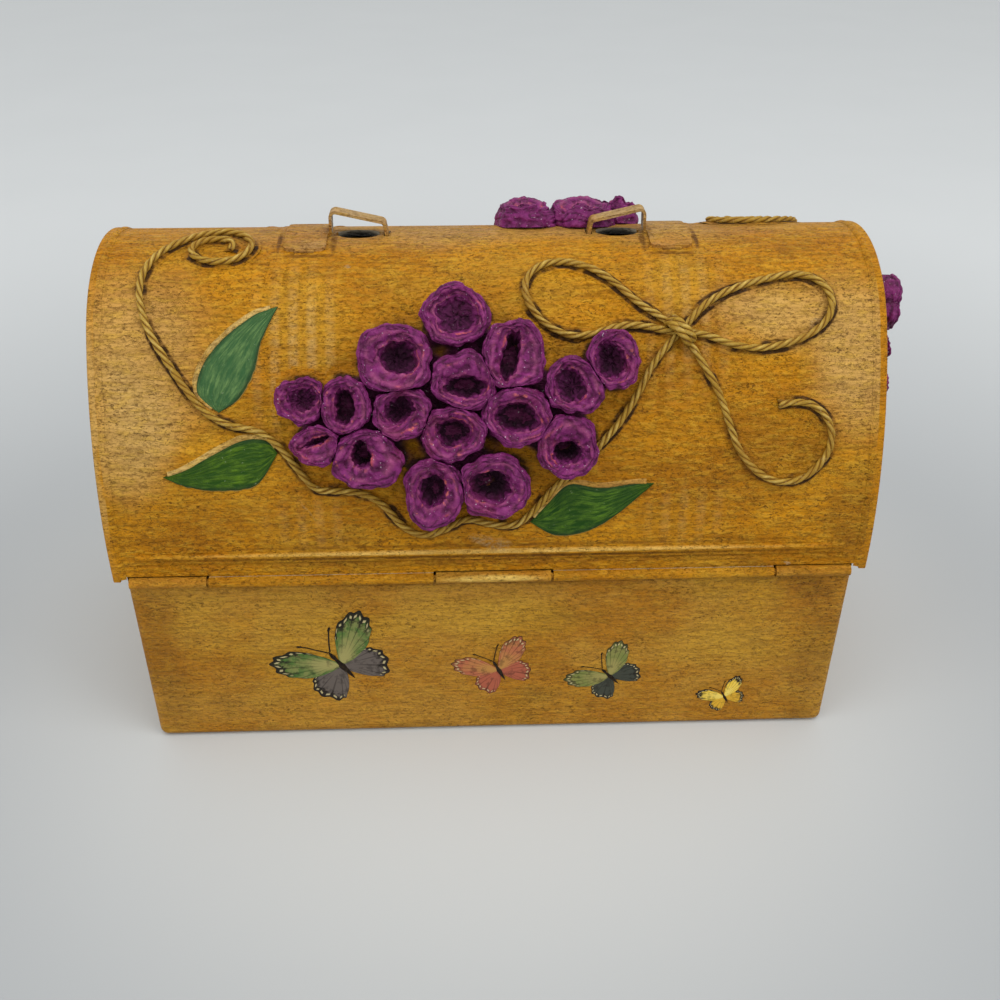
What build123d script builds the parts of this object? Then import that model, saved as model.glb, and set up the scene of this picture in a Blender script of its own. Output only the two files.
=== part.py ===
from build123d import *
import os
from math import acos, cos, degrees, pi, radians, sin, tan

# A dome-topped sheet-metal lunch box made up as a purse, with glued twine, flowers, leaves and butterflies.
# Z is up, the hinge side faces -Y and the latch side +Y. The origin is the middle of the base.
# Places on the lid are given as x and the distance up the hinge side from the seam, measured along the sheet.

# Sheet metal
sheet = 0.8
seam_height = 75.0

# Lid: two side arcs and a crown arc between two end plates
lid_length = 260.0
half_depth = 61.0
arch_height = 99.5
crown_radius = 44.0
lid_foot = 74.0
lid_rear_foot = 75.9
rim_width = 2.6
rim_proud = 0.4
rim_lip = 2.2
plate_recess = 0.7

# Body: one wrap with turned-in end flanges, and an end plate behind each
body_length = 252.5
body_rear = -60.3
body_front = 59.6
body_top = 77.0
body_corner = 3.2
end_flange = 5.2
hem_radius = 1.0

# Hinge along the rear seam
hinge_y = -61.4
hinge_z = 73.5
knuckle_radius = 2.0
pin_radius = 1.0
pin_clearance = 0.05
hinge_half = 124.3
centre_knuckle_half = 19.8
outer_knuckle_start = 98.2
knuckle_gap = 0.9
wall_below_knuckle = 71.2

# Pressed bead, groove and ribs
bead_half = 121.0
bead_place = 8.6
bead_radius = 1.2
groove_place = 5.0
groove_depth = 0.4
rib_centre = 64.0
rib_pitch = 6.0
rib_count = 5
rib_width = 4.6
rib_root = 0.3
rib_height = 0.28
body_rib_height = 0.15
rib_start = 13.0
rib_end = 112.0
body_rib_bottom = 9.0
body_rib_top = 64.0

# Handle brackets on the crest and the flanged holes under them
pad_x = 61.4
pad_width = 14.2
pad_depth = 24.6
pad_thickness = 1.0
tab_width = 6.5
tab_reach = 0.9
strap_width = 5.0
strap_thickness = 1.0
strap_rise = 8.4
strap_fall = 4.3
outer_leg_x = 53.4
inner_leg_x = 34.6
hole_x = 44.2
hole_half_length = 8.4
hole_half_width = 5.0
collar_depth = 2.4

# Latches on the front
latch_x = 92.0
latch_y = 62.2
latch_z = 58.0
latch_width = 24.0
latch_sheet = 1.0
latch_knuckle = 1.6
latch_pin_radius = 0.8
latch_base_drop = 17.0
latch_rivet_drop = 11.5
latch_rivet_half = 6.5
latch_rivet_radius = 1.5
hasp_reach = 28.0
hasp_hang = 172.0

# Twine, flowers, leaves and butterflies
twine_radius = 1.5
flower_height = 11.5
flower_fullness = 1.08
flared_foot = 0.62
wide_foot = 0.84
flower_gap = 0.12
leaf_thickness = 0.6
paper_thickness = 0.4

# Worked out from the above
squares = half_depth**2 + arch_height**2 - 2 * arch_height * crown_radius
side_radius = squares / (2 * (half_depth - crown_radius))
join_angle = acos((side_radius - half_depth) / (side_radius - crown_radius))
side_centre = side_radius - half_depth
side_arc = side_radius * join_angle
half_arch = side_arc + crown_radius * (pi / 2 - join_angle)
crown_centre = seam_height + arch_height - crown_radius
crest = seam_height + arch_height
lid_half = lid_length / 2
dome_half = lid_half - rim_width
body_half = body_length / 2
X_AXIS = (1, 0, 0)


def lid_place(distance, height=0.0):
    """Y, Z and the outward slope of a place on the lid, at a height off the sheet"""
    if distance > half_arch:
        y, z, angle = lid_place(2 * half_arch - distance, height)
        return -y, z, pi - angle
    if distance < side_arc:
        angle = distance / side_radius
        reach = side_radius + height
        return side_centre - reach * cos(angle), seam_height + reach * sin(angle), angle
    angle = join_angle + (distance - side_arc) / crown_radius
    reach = crown_radius + height
    return -reach * cos(angle), crown_centre + reach * sin(angle), angle


def lid_point(x, distance, height=0.0):
    y, z, _ = lid_place(distance, height)
    return Vector(x, y, z)


def lid_plane(x, distance):
    """Plane on the sheet, its Z axis straight out of it and its Y axis up the slope"""
    y, z, angle = lid_place(distance)
    return Plane(origin=(x, y, z), x_dir=X_AXIS, z_dir=(0, -cos(angle), sin(angle)))


def dome(offset, foot, start, end):
    """Solid under the arch, at an offset from the sheet's outer face, from one X to another"""
    joins = [0.0, side_arc, 2 * half_arch - side_arc, 2 * half_arch]
    ends = [lid_point(start, joint, offset) for joint in joins]
    middles = [lid_point(start, (a + b) / 2, offset) for a, b in zip(joins, joins[1:])]
    arcs = [ThreePointArc(a, m, b) for a, m, b in zip(ends, middles, ends[1:])]
    feet = [Vector(start, ends[0].Y, foot), Vector(start, ends[-1].Y, foot)]
    outline = [Line(feet[0], ends[0]), *arcs, Line(ends[-1], feet[1]), Line(feet[1], feet[0])]
    return extrude(Face(Wire(outline)), amount=end - start, dir=X_AXIS)


def block(x, y, z):
    """Box between pairs of limits"""
    size = Box(x[1] - x[0], y[1] - y[0], z[1] - z[0])
    return Pos((x[0] + x[1]) / 2, (y[0] + y[1]) / 2, (z[0] + z[1]) / 2) * size


def rod(radius, start, end, y, z):
    """Round bar along X"""
    return Pos((start + end) / 2, y, z) * Rot(0, 90, 0) * Cylinder(radius, end - start)


def save(name, *solids):
    shape = solids[0] if len(solids) == 1 else Compound(children=list(solids))
    export_step(shape, f"parts/{name}.step")


# Hinge knuckles: the body has the middle and the outer ones, the lid the two between
body_knuckles = [
    (-hinge_half, -outer_knuckle_start),
    (-centre_knuckle_half, centre_knuckle_half),
    (outer_knuckle_start, hinge_half),
]
lid_knuckles = [
    (-outer_knuckle_start + knuckle_gap, -centre_knuckle_half - knuckle_gap),
    (centre_knuckle_half + knuckle_gap, outer_knuckle_start - knuckle_gap),
]
hinge_bore = rod(pin_radius + pin_clearance, -lid_half, lid_half, hinge_y, hinge_z)


def ribs_at(side):
    """X of each rib in the group on one side"""
    middle = (rib_count - 1) / 2
    return [side * rib_centre + (number - middle) * rib_pitch for number in range(rib_count)]


def rib_section(x, height):
    """Cross-section of a rib, flat with its rise along Y: a shallow arc on a root inside the sheet"""
    left = x - rib_width / 2
    right = x + rib_width / 2
    crest_arc = ThreePointArc((right, 0), (x, height), (left, 0))
    root = Polyline((left, 0), (left, -rib_root), (right, -rib_root), (right, 0))
    return Face(Wire([crest_arc, *root.edges()]))


def lid_rib(x):
    """Raised rib that follows the side arc and then the crown arc"""
    parts = []
    for start, end, radius, centre in (
        (rib_start, side_arc, side_radius, (0, side_centre, seam_height)),
        (side_arc, rib_end, crown_radius, (0, 0, crown_centre)),
    ):
        y, z, angle = lid_place(start)
        across = Plane(origin=(0, y, z), x_dir=X_AXIS, z_dir=(0, -sin(angle), -cos(angle)))
        axis = Axis(centre, (-1, 0, 0))
        turn = degrees((end - start) / radius)
        parts.append(revolve(across * rib_section(x, rib_height), axis=axis, revolution_arc=turn))
    return parts


def make_lid_dome():
    """Rolled sheet of the lid, with its bead, groove, ribs, hinge knuckles and handle holes"""
    inside = dome(-sheet, lid_foot - 1, -lid_half, lid_half)
    lid = dome(0, lid_foot, -dome_half, dome_half)
    for mirrored in (False, True):
        y, z, _ = lid_place(bead_place, -0.2)
        bead = rod(bead_radius, -bead_half, bead_half, y, z)
        y, z, _ = lid_place(groove_place, 1.0 - groove_depth)
        groove = rod(1.0, -bead_half, bead_half, y, z)
        ribs = [part for side in (-1, 1) for x in ribs_at(side) for part in lid_rib(x)]
        if mirrored:
            bead = mirror(bead, Plane.XZ)
            groove = mirror(groove, Plane.XZ)
            ribs = [mirror(rib, Plane.XZ) for rib in ribs]
        lid = lid - groove + bead + ribs
    for side in (-1, 1):
        outline = Pos(side * hole_x, 0, crest - collar_depth) * Ellipse(hole_half_length, hole_half_width)
        bare = Ellipse(hole_half_length - sheet, hole_half_width - sheet)
        inner = Pos(side * hole_x, 0, crest - collar_depth) * bare
        collar = extrude(outline, amount=2 * collar_depth, dir=(0, 0, 1)) & lid
        slit_x = side * (inner_leg_x - 0.2)
        slit_half = strap_width / 2 + 0.1
        slit = block((slit_x - 1.1, slit_x + 1.1), (-slit_half, slit_half), (crest - 3, crest + 1))
        inside = inside - collar
        lid = lid - extrude(inner, amount=2 * collar_depth, dir=(0, 0, 1)) - slit
    lid = lid - inside
    rear_edge = (-half_depth - 0.5, -half_depth + 1.5)
    lid = lid - block((-lid_half, lid_half), rear_edge, (lid_foot - 1, lid_rear_foot))
    for start, end in lid_knuckles:
        web = block((start, end), (-half_depth, -half_depth + sheet), (hinge_z + 1, lid_rear_foot + 0.5))
        lid = lid + web + rod(knuckle_radius, start, end, hinge_y, hinge_z)
    return lid - hinge_bore


def make_lid_end(side):
    """End plate of the lid with its folded rim over the edge of the dome"""
    rim = dome(rim_proud, lid_foot, dome_half, lid_half)
    outer_face = rim.faces().sort_by(Axis.X)[-1]
    arcs = outer_face.edges().filter_by(GeomType.CIRCLE)
    rim = fillet(arcs, rim_proud + 0.4)
    plate = rim - dome(-sheet, lid_foot - 1, dome_half - 1, lid_half - plate_recess - sheet)
    pocket = dome(-rim_lip, lid_foot - 1, lid_half - plate_recess, lid_half + 1)
    pocket = pocket & block((0, lid_length), (-half_depth, half_depth), (lid_foot + rim_lip, crest))
    plate = plate - pocket
    return plate if side > 0 else mirror(plate, Plane.YZ)


def rounded_trough(inset):
    """Body block with rounded upright and bottom edges, drawn in by an inset"""
    solid = block(
        (-body_half + inset, body_half - inset), (body_rear + inset, body_front - inset), (inset, body_top + inset)
    )
    round_edges = solid.edges().filter_by(Axis.Z) + solid.faces().sort_by(Axis.Z)[0].edges()
    return fillet(round_edges, body_corner - inset)


def make_body_wrap():
    """Bottom, front and rear in one sheet, turned in at the ends, with the body's hinge knuckles and ribs"""
    wrap = rounded_trough(0)
    faces = ((body_rear, body_rib_top, (0, 0, -1)), (body_front, body_rib_bottom, (0, 0, 1)))
    for face_y, start, along in faces:
        across = Plane(origin=(0, face_y, start), x_dir=X_AXIS, z_dir=along)
        for x in ribs_at(-1) + ribs_at(1):
            rib = across * rib_section(x, body_rib_height)
            wrap = wrap + extrude(rib, amount=body_rib_top - body_rib_bottom, dir=along)
    wrap = wrap - rounded_trough(sheet)
    wrap = wrap - block(
        (-lid_half, lid_half), (body_rear + end_flange, body_front - end_flange), (end_flange, body_top + 1)
    )
    rear_edge = (body_rear - 1, body_rear + body_corner + 0.3)
    wrap = wrap - block((-lid_half, lid_half), rear_edge, (hinge_z, body_top + 1))
    for start, end in lid_knuckles:
        clear = (start - knuckle_gap / 2, end + knuckle_gap / 2)
        wrap = wrap - block(clear, (body_rear - 1, body_rear + 2), (wall_below_knuckle, body_top))
    for start, end in body_knuckles:
        wrap = wrap + rod(knuckle_radius, start, end, hinge_y, hinge_z)
    hem_end = body_half - body_corner
    wrap = wrap + rod(hem_radius, -hem_end, hem_end, body_front - hem_radius, body_top - hem_radius)
    return wrap - hinge_bore - rivet_holes(-latch_x) - rivet_holes(latch_x)


def make_body_end(side):
    """End plate of the body, set inside the wrap's flange, with a rolled top edge"""
    outer = body_half - sheet
    inset = body_corner + 0.1
    rear = body_rear + inset
    front = body_front - inset
    plate = block((outer - sheet, outer), (rear, front), (inset, body_top - hem_radius))
    corners = plate.edges().filter_by(Axis.X).sort_by(Axis.Z)[:2]
    plate = fillet(corners, 3.0)
    hem = Pos(outer - hem_radius, (rear + front) / 2, body_top - hem_radius) * Rot(90, 0, 0)
    plate = plate + hem * Cylinder(hem_radius, front - rear)
    return plate if side > 0 else mirror(plate, Plane.YZ)


def make_bracket(side):
    """Handle bracket: a pad bent over the crest and a strap that rises, slopes and clinches through the lid"""
    prism = extrude(Pos(pad_x, 0, crest - 12) * RectangleRounded(pad_width, pad_depth, 2.2), amount=20)
    pad = prism & dome(pad_thickness, lid_foot, pad_x - pad_width, pad_x + pad_width)
    prism = extrude(Pos(pad_x, 0, crest - 12) * Rectangle(tab_width, pad_depth + 2 * tab_reach), amount=20)
    tab = prism & dome(pad_thickness * 0.6, lid_foot, pad_x - pad_width, pad_x + pad_width)
    pad = pad + tab - dome(0, lid_foot - 1, 0, lid_half)
    middle = strap_thickness / 2
    clinch = crest - sheet - 0.05 - middle
    path = FilletPolyline(
        (outer_leg_x + 2.6, 0, crest + middle),
        (outer_leg_x, 0, crest + middle),
        (outer_leg_x - 0.3, 0, crest + strap_rise),
        (inner_leg_x + 0.6, 0, crest + strap_fall),
        (inner_leg_x - 0.3, 0, clinch),
        (inner_leg_x - 3.2, 0, clinch),
        radius=[0.8, 1.7, 1.5, 0.6],
    )
    start = Plane(origin=path @ 0, x_dir=(0, 1, 0), z_dir=path % 0)
    section = start * Rectangle(strap_width, strap_thickness)
    strap = sweep(section, path=path)
    cutter = dome(0, lid_foot - 1, outer_leg_x - 0.4, lid_half)
    bracket = pad + (strap - cutter)
    return bracket if side > 0 else mirror(bracket, Plane.YZ)


# Latches are drawn closed, and the hasps are then swung down to hang open
hasp_back = latch_y + 0.4
hasp_front = hasp_back + latch_sheet
hasp_axis = Axis((0, latch_y, latch_z), X_AXIS)
latch_bore_radius = latch_pin_radius + pin_clearance


def rivet_holes(x):
    holes = []
    for offset in (-latch_rivet_half, latch_rivet_half):
        place = Pos(x + offset, body_front, latch_z - latch_rivet_drop) * Rot(90, 0, 0)
        holes.append(place * Cylinder(latch_rivet_radius, 6))
    return holes


def make_latch_base(x):
    """Plate riveted to the front, with a pin knuckle at each side"""
    half = latch_width / 2
    front = body_front + latch_sheet
    plate = block((x - half, x + half), (body_front, front), (latch_z - latch_base_drop, latch_z + 2.4))
    plate = fillet(plate.edges().filter_by(Axis.Y), 2.0)
    for start, end in ((x - half, x - half + 6), (x + half - 6, x + half)):
        curl = block((start, end), (front - 0.2, latch_y), (latch_z, latch_z + latch_knuckle))
        plate = plate + rod(latch_knuckle, start, end, latch_y, latch_z) + curl
    plate = plate - rivet_holes(x)
    return plate - rod(latch_bore_radius, x - half - 1, x + half + 1, latch_y, latch_z)


def make_hasp(x):
    """Swinging tongue with a lip that hooks over the lid's bead and a rolled finger edge"""
    half = latch_width / 2
    inner = half - 6.4
    top = latch_z + hasp_reach
    plate = block((x - half + 1, x + half - 1), (hasp_back, hasp_front), (latch_z + 3.2, top + 2.4))
    neck = block((x - inner, x + inner), (hasp_back, hasp_front), (latch_z, latch_z + 3.4))
    lip = block((x - half + 3, x + half - 3), (hasp_back - 1.0, hasp_front), (top - 0.5, top + 0.5))
    roll = rod(1.6, x - half + 1, x + half - 1, hasp_front + 0.4, top + 3.2)
    boss_front = hasp_front + 0.8
    boss = block((x - inner + 1, x + inner - 1), (hasp_front - 0.2, boss_front), (latch_z + 13, top - 5))
    boss = fillet(boss.edges().filter_by(Axis.Y), 2.0)
    hasp = plate + neck + lip + roll + boss + rod(latch_knuckle, x - inner, x + inner, latch_y, latch_z)
    hasp = hasp - rod(latch_bore_radius, x - half, x + half, latch_y, latch_z)
    return hasp.rotate(hasp_axis, -hasp_hang)


def make_latch_rivet(x):
    """Domed rivet through the latch plate and the front sheet"""
    shank_length = sheet + latch_sheet
    shank = Pos(0, 0, shank_length / 2) * Cylinder(latch_rivet_radius, shank_length)
    head = Pos(0, 0, shank_length + 0.3) * Cylinder(2.6, 0.6)
    head = fillet(head.edges().sort_by(Axis.Z)[-1], 0.55)
    tail = Pos(0, 0, -0.25) * Cylinder(2.2, 0.5)
    place = Pos(x, body_front - sheet, latch_z - latch_rivet_drop) * Rot(-90, 0, 0)
    return place * (shank + head + tail)


def corner_radii(route):
    """Arc for each corner of a route, as large as the shorter of its two runs allows"""
    radii = []
    for before, corner, after in zip(route, route[1:], route[2:]):
        arriving = corner - before
        leaving = after - corner
        half_turn = radians(arriving.get_angle(leaving)) / 2
        radii.append(0.45 * min(arriving.length, leaving.length) / tan(half_turn))
    return radii


def make_twine(name, places):
    """Tube glued along the lid through hand-picked places"""
    route = [lid_point(x, distance, twine_radius + 0.1) for x, distance in places]
    radii = corner_radii(route)
    path = FilletPolyline(*route, radius=radii)
    section = Plane(origin=path @ 0, z_dir=path % 0) * RegularPolygon(twine_radius, 8)
    tube = sweep(section, path=path)
    area = section.area
    print(name, "length", round(path.length, 1), "radii", [round(r, 1) for r in radii])
    print(name, "volume", round(tube.volume, 1), "section times length", round(area * path.length, 1))
    return tube


# Twine routes
vine_places = [
    (-85.6, 115.2), (-84.4, 118.4), (-87.4, 121.6), (-92.8, 121.8), (-97.4, 118.8), (-98.8, 114.4), (-95.2, 110.6),
    (-88.4, 109.2), (-81.4, 111.4), (-78.2, 117.0), (-80.6, 123.4), (-86.6, 127.4), (-93.8, 126.6), (-100.6, 122.0),
    (-107.2, 116.0), (-112.0, 108.6), (-113.6, 100.0), (-112.2, 91.4), (-108.8, 83.2), (-104.0, 75.2),
    (-98.8, 67.0), (-93.0, 59.2), (-85.0, 54.6), (-76.4, 53.6), (-69.4, 48.2), (-63.8, 40.0), (-58.6, 32.6),
    (-50.4, 32.8), (-41.8, 31.6), (-35.4, 26.6), (-31.0, 19.6), (-23.4, 15.4), (-15.6, 18.6), (-8.8, 22.6),
    (-1.2, 19.8), (7.0, 18.6), (13.4, 24.2), (20.2, 32.8), (28.8, 39.6), (35.4, 47.0), (42.0, 54.6),
    (47.2, 62.8), (51.4, 71.4), (57.0, 79.4),
]
left_loop_places = [
    (57.2, 86.2), (48.4, 92.0), (41.8, 98.8), (34.4, 105.0), (25.8, 108.4), (17.6, 107.6), (12.0, 102.8),
    (10.9, 96.8), (13.2, 90.6), (18.6, 85.0), (26.0, 81.8), (33.6, 82.6), (41.0, 85.2), (49.0, 85.4), (56.0, 83.4),
]
right_loop_places = [
    (64.6, 85.6), (68.6, 91.0), (74.8, 95.2), (82.6, 98.4), (91.0, 100.6), (99.4, 102.4), (106.4, 101.2),
    (110.8, 96.8), (112.0, 91.0), (109.2, 85.4), (103.4, 81.2), (95.4, 78.4), (86.8, 77.2), (78.4, 78.6),
    (71.6, 81.4), (66.0, 82.6),
]
tail_places = [
    (65.0, 79.4), (68.4, 73.0), (72.6, 66.4), (75.8, 58.8), (78.4, 50.6), (82.0, 42.8), (87.8, 36.4), (94.8, 33.0),
    (102.2, 33.6), (108.2, 38.2), (112.0, 45.0), (111.6, 52.2), (107.6, 57.8), (101.0, 60.4), (93.4, 59.4),
]

# The front has the same scroll turned half round; its top shows over the crest
scroll_end = 20
front_scroll_places = [(-x, 2 * half_arch - distance) for x, distance in vine_places[:scroll_end]]

# Flowers on the hinge side: x, distance, half width, half height, then the mouth's two sizes and its turn
flowers = [
    (-10.0, 89.2, 10.7, 10.7, 0.55, 0.55, 0),
    (-31.3, 75.5, 11.7, 11.7, 0.62, 0.50, 20),
    (7.6, 75.9, 10.0, 11.2, 0.24, 0.62, -10),
    (-8.8, 67.5, 10.0, 7.9, 0.62, 0.24, 10),
    (25.5, 66.1, 9.4, 9.4, 0.50, 0.45, 0),
    (39.1, 74.0, 8.8, 8.8, 0.55, 0.50, 30),
    (8.4, 56.4, 10.4, 8.8, 0.60, 0.36, -15),
    (23.9, 47.6, 9.4, 9.4, 0.68, 0.60, 0),
    (-11.7, 51.6, 8.8, 8.8, 0.52, 0.52, 0),
    (-28.9, 57.8, 8.8, 8.8, 0.50, 0.44, 40),
    (-47.0, 60.6, 7.8, 8.8, 0.36, 0.62, 0),
    (-61.9, 62.6, 7.8, 7.0, 0.44, 0.40, 0),
    (-56.4, 48.8, 7.5, 6.2, 0.40, 0.20, 35),
    (-41.2, 43.5, 11.0, 9.4, 0.34, 0.62, 5),
    (-19.1, 32.7, 9.2, 11.2, 0.46, 0.58, 0),
    (0.2, 34.0, 11.2, 10.0, 0.66, 0.42, -8),
]
crest_flowers = [
    (13.0, 141.0, 10.4, 10.0, 0.55, 0.50, 0),
    (33.2, 140.0, 10.6, 10.0, 0.50, 0.55, 0),
    (46.6, 146.0, 7.4, 8.0, 0.50, 0.45, 0),
]
# Flowers on the end plates: side, y, z, radius and height
end_flowers = [
    (1, -22.0, 156.5, 8.2, 8.6),
    (1, -29.0, 142.0, 4.6, 6.0),
    (1, -34.0, 132.6, 4.4, 5.6),
    (-1, -25.0, 142.0, 4.6, 5.2),
]


def cup(half_width, half_height, mouth_width, mouth_height, turn, height, foot=flared_foot):
    """Paper flower on its own plane: a flared cup with a hollow that can be round or pinched to a slit"""
    half_width = half_width * flower_fullness
    half_height = half_height * flower_fullness
    radius = (half_width + half_height) / 2
    outside = Polygon(
        (0, -3), (0.5 * radius, -3), (foot * radius, 0.06 * height), (0.9 * radius, 0.52 * height),
        (radius, 0.82 * height), (0.9 * radius, height), (0, height), align=None,
    )
    hollow = Polygon(
        (0, 0.35 * height), (0.5 * radius, 0.42 * height), (radius, height + 0.1), (0, height + 0.1), align=None
    )
    solid = revolve(Plane.XZ * outside, axis=Axis.Z)
    solid = scale(solid, by=(half_width / radius, half_height / radius, 1))
    mouth = scale(revolve(Plane.XZ * hollow, axis=Axis.Z), by=(mouth_width, mouth_height, 1))
    return solid - Rot(0, 0, turn) * mouth


def pressed_flat(solid, place, others):
    """Flattens a flower where a neighbour presses on it, halfway between the two cups"""
    x, distance = place[:2]
    here = lid_point(x, distance, flower_height / 2)
    size = flower_fullness * (place[2] + place[3]) / 2
    for other in others:
        there = lid_point(other[0], other[1], flower_height / 2)
        other_size = flower_fullness * (other[2] + other[3]) / 2
        apart = (there - here).length
        if other is place or apart > size + other_size:
            continue
        share = (apart**2 + size**2 - other_size**2) / (2 * apart) - flower_gap / 2
        facing = (there - here).normalized()
        solid = split(solid, bisect_by=Plane(origin=here + facing * share, z_dir=facing), keep=Keep.BOTTOM)
    return solid


def leaf_outline(upper, lower):
    """Closed outline through two sides that share both ends, as a flat sketch about the first point"""
    first = Vector(*upper[0])
    sides = []
    for side in (upper, lower):
        sides.append(Spline(*[Vector(*point) - first for point in side]))
    return Face(Wire(sides))


leaf_sides = {
    "leaf_upper": (
        [(-88.4, 59.0), (-95.4, 65.0), (-93.4, 74.4), (-86.4, 83.0), (-76.4, 90.4), (-68.7, 92.8)],
        [(-88.4, 59.0), (-81.6, 63.4), (-76.4, 72.0), (-74.0, 81.6), (-68.7, 92.8)],
    ),
    "leaf_lower_left": (
        [(-108.0, 38.0), (-100.8, 40.4), (-91.0, 45.8), (-81.2, 50.0), (-75.0, 49.6), (-71.8, 45.0)],
        [(-108.0, 38.0), (-100.6, 34.4), (-90.0, 32.8), (-79.4, 35.0), (-71.8, 45.0)],
    ),
    "leaf_lower_right": (
        [(12.3, 20.0), (18.0, 26.6), (24.6, 33.0), (35.4, 32.2), (46.0, 33.4), (53.6, 33.4)],
        [(12.3, 20.0), (20.8, 14.6), (31.0, 15.6), (41.0, 21.6), (53.6, 33.4)],
    ),
}


def make_leaf(upper, lower, skin):
    prism = extrude(lid_plane(*upper[0]) * leaf_outline(upper, lower), amount=8, both=True)
    return prism & skin


# Butterflies: x and z of the middle on the rear face, wing span, lean to the left in degrees
butterflies = [
    ("butterfly_green", -56.0, 35.0, 44.0, 35.0),
    ("butterfly_coral", 1.6, 30.6, 30.0, 26.0),
    ("butterfly_pale", 42.6, 26.4, 29.0, 42.0),
    ("butterfly_yellow", 87.0, 14.6, 19.0, 28.0),
]


def wing(points, side):
    outline = [(side * x, y) for x, y in points[::side]]
    return Face(Wire([Spline(*outline, periodic=True)]))


def make_butterfly(x, z, span, lean):
    """Paper cut-out with four wings and a slim body, flat on the rear face"""
    half = span / 2
    fore = [(0.1, -0.08), (0.6, 0.02), (0.96, 0.38), (0.9, 0.72), (0.42, 0.62), (0.03, 0.05)]
    hind = [(0.02, -0.2), (0.22, -0.52), (0.5, -0.68), (0.74, -0.3), (0.55, 0.0), (0.03, 0.02)]
    shape = Ellipse(0.06, 0.4)
    for side in (-1, 1):
        shape = shape + wing(fore, side) + wing(hind, side)
    paper = Plane(origin=(x, body_rear, z), x_dir=X_AXIS, z_dir=(0, -1, 0)).location * Rot(0, 0, lean)
    return paper * extrude(scale(shape, by=half), amount=paper_thickness, dir=(0, 0, 1))


os.makedirs("parts", exist_ok=True)

body_wrap = make_body_wrap()
save("body_wrap", body_wrap)
save("body_end_left", make_body_end(-1))
save("body_end_right", make_body_end(1))
save("hinge_pin", rod(pin_radius, -hinge_half, hinge_half, hinge_y, hinge_z))

lid_dome = make_lid_dome()
save("lid_dome", lid_dome)
save("lid_end_left", make_lid_end(-1))
save("lid_end_right", make_lid_end(1))
save("handle_bracket_left", make_bracket(-1))
save("handle_bracket_right", make_bracket(1))

for name, x in (("left", -latch_x), ("right", latch_x)):
    half = latch_width / 2
    save(f"latch_base_{name}", make_latch_base(x))
    save(f"latch_hasp_{name}", make_hasp(x))
    save(f"latch_pin_{name}", rod(latch_pin_radius, x - half, x + half, latch_y, latch_z))
offsets = (-latch_rivet_half, latch_rivet_half)
rivet_places = [side * latch_x + offset for side in (-1, 1) for offset in offsets]
save("latch_rivets", *[make_latch_rivet(x) for x in rivet_places])

knot_middle = lid_plane(61.0, 82.8)
knot = knot_middle.location * Pos(0, 0, 2.6) * Rot(0, 0, -45) * scale(Sphere(1), by=(5.2, 3.6, 3.2))
knot = knot - dome(0, lid_foot, 0, lid_half)
save("twine_knot", knot)
save("twine_vine", make_twine("twine_vine", vine_places) - knot)
save("twine_loop_left", make_twine("twine_loop_left", left_loop_places) - knot)
save("twine_loop_right", make_twine("twine_loop_right", right_loop_places) - knot)
save("twine_tail", make_twine("twine_tail", tail_places) - knot)
save("twine_scroll_front", make_twine("twine_scroll_front", front_scroll_places))

lid_core = dome(0, lid_foot - 1, -lid_half, lid_half)
groups = (("flower_rear", flowers, flared_foot), ("flower_crest", crest_flowers, wide_foot))
for group, cluster, foot in groups:
    for number, place in enumerate(cluster, 1):
        x, distance, *form = place
        bloom = lid_plane(x, distance).location * cup(*form, flower_height, foot)
        bloom = pressed_flat(bloom, place, cluster)
        save(f"{group}_{number:02d}", bloom - lid_core - lid_dome)
for number, (side, y, z, radius, height) in enumerate(end_flowers, 1):
    face_x = side * (lid_half - plate_recess)
    plane = Plane(origin=(face_x, y, z), x_dir=(0, side, 0), z_dir=(side, 0, 0))
    bloom = plane.location * cup(radius, radius, 0.5, 0.5, 0, height, wide_foot)
    inner_block = block((-abs(face_x), abs(face_x)), (-half_depth, half_depth), (0, crest))
    save(f"flower_end_{number:02d}", bloom - inner_block)

skin = dome(leaf_thickness, lid_foot, -lid_half, lid_half) - lid_core
for name, (upper, lower) in leaf_sides.items():
    save(name, make_leaf(upper, lower, skin) - lid_dome)
for name, x, z, span, lean in butterflies:
    save(name, make_butterfly(x, z, span, lean) - body_wrap)
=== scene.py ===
import bmesh
import bpy
from math import acos, cos, exp, pi, sin
from mathutils import Matrix, Vector
from mathutils.noise import noise


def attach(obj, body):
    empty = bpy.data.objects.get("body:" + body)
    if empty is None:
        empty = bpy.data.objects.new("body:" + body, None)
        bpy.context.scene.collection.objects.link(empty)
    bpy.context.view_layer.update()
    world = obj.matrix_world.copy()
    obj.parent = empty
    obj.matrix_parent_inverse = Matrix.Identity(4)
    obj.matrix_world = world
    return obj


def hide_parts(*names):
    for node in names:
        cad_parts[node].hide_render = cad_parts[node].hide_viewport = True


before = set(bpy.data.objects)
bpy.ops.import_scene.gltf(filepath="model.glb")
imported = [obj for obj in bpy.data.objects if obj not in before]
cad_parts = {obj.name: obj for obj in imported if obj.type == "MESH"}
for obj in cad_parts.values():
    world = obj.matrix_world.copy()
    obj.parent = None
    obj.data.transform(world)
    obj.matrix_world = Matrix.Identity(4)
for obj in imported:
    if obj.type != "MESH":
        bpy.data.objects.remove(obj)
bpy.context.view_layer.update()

# The camera stands behind the hinge side, a little left of the middle, and looks down by about 33 degrees.
# Its place and lens come from matching the box's own edges to the picture.
camera_place = (-0.00957, -0.36618, 0.30209)
camera_pitch = 0.57386
camera_yaw = 0.03826
camera_roll = 0.00367
look = Vector((sin(camera_yaw) * cos(camera_pitch), cos(camera_yaw) * cos(camera_pitch), -sin(camera_pitch)))
level = Vector((cos(camera_yaw), -sin(camera_yaw), 0.0))
upright = level.cross(look)
across = cos(camera_roll) * level + sin(camera_roll) * upright
up = -sin(camera_roll) * level + cos(camera_roll) * upright
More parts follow.
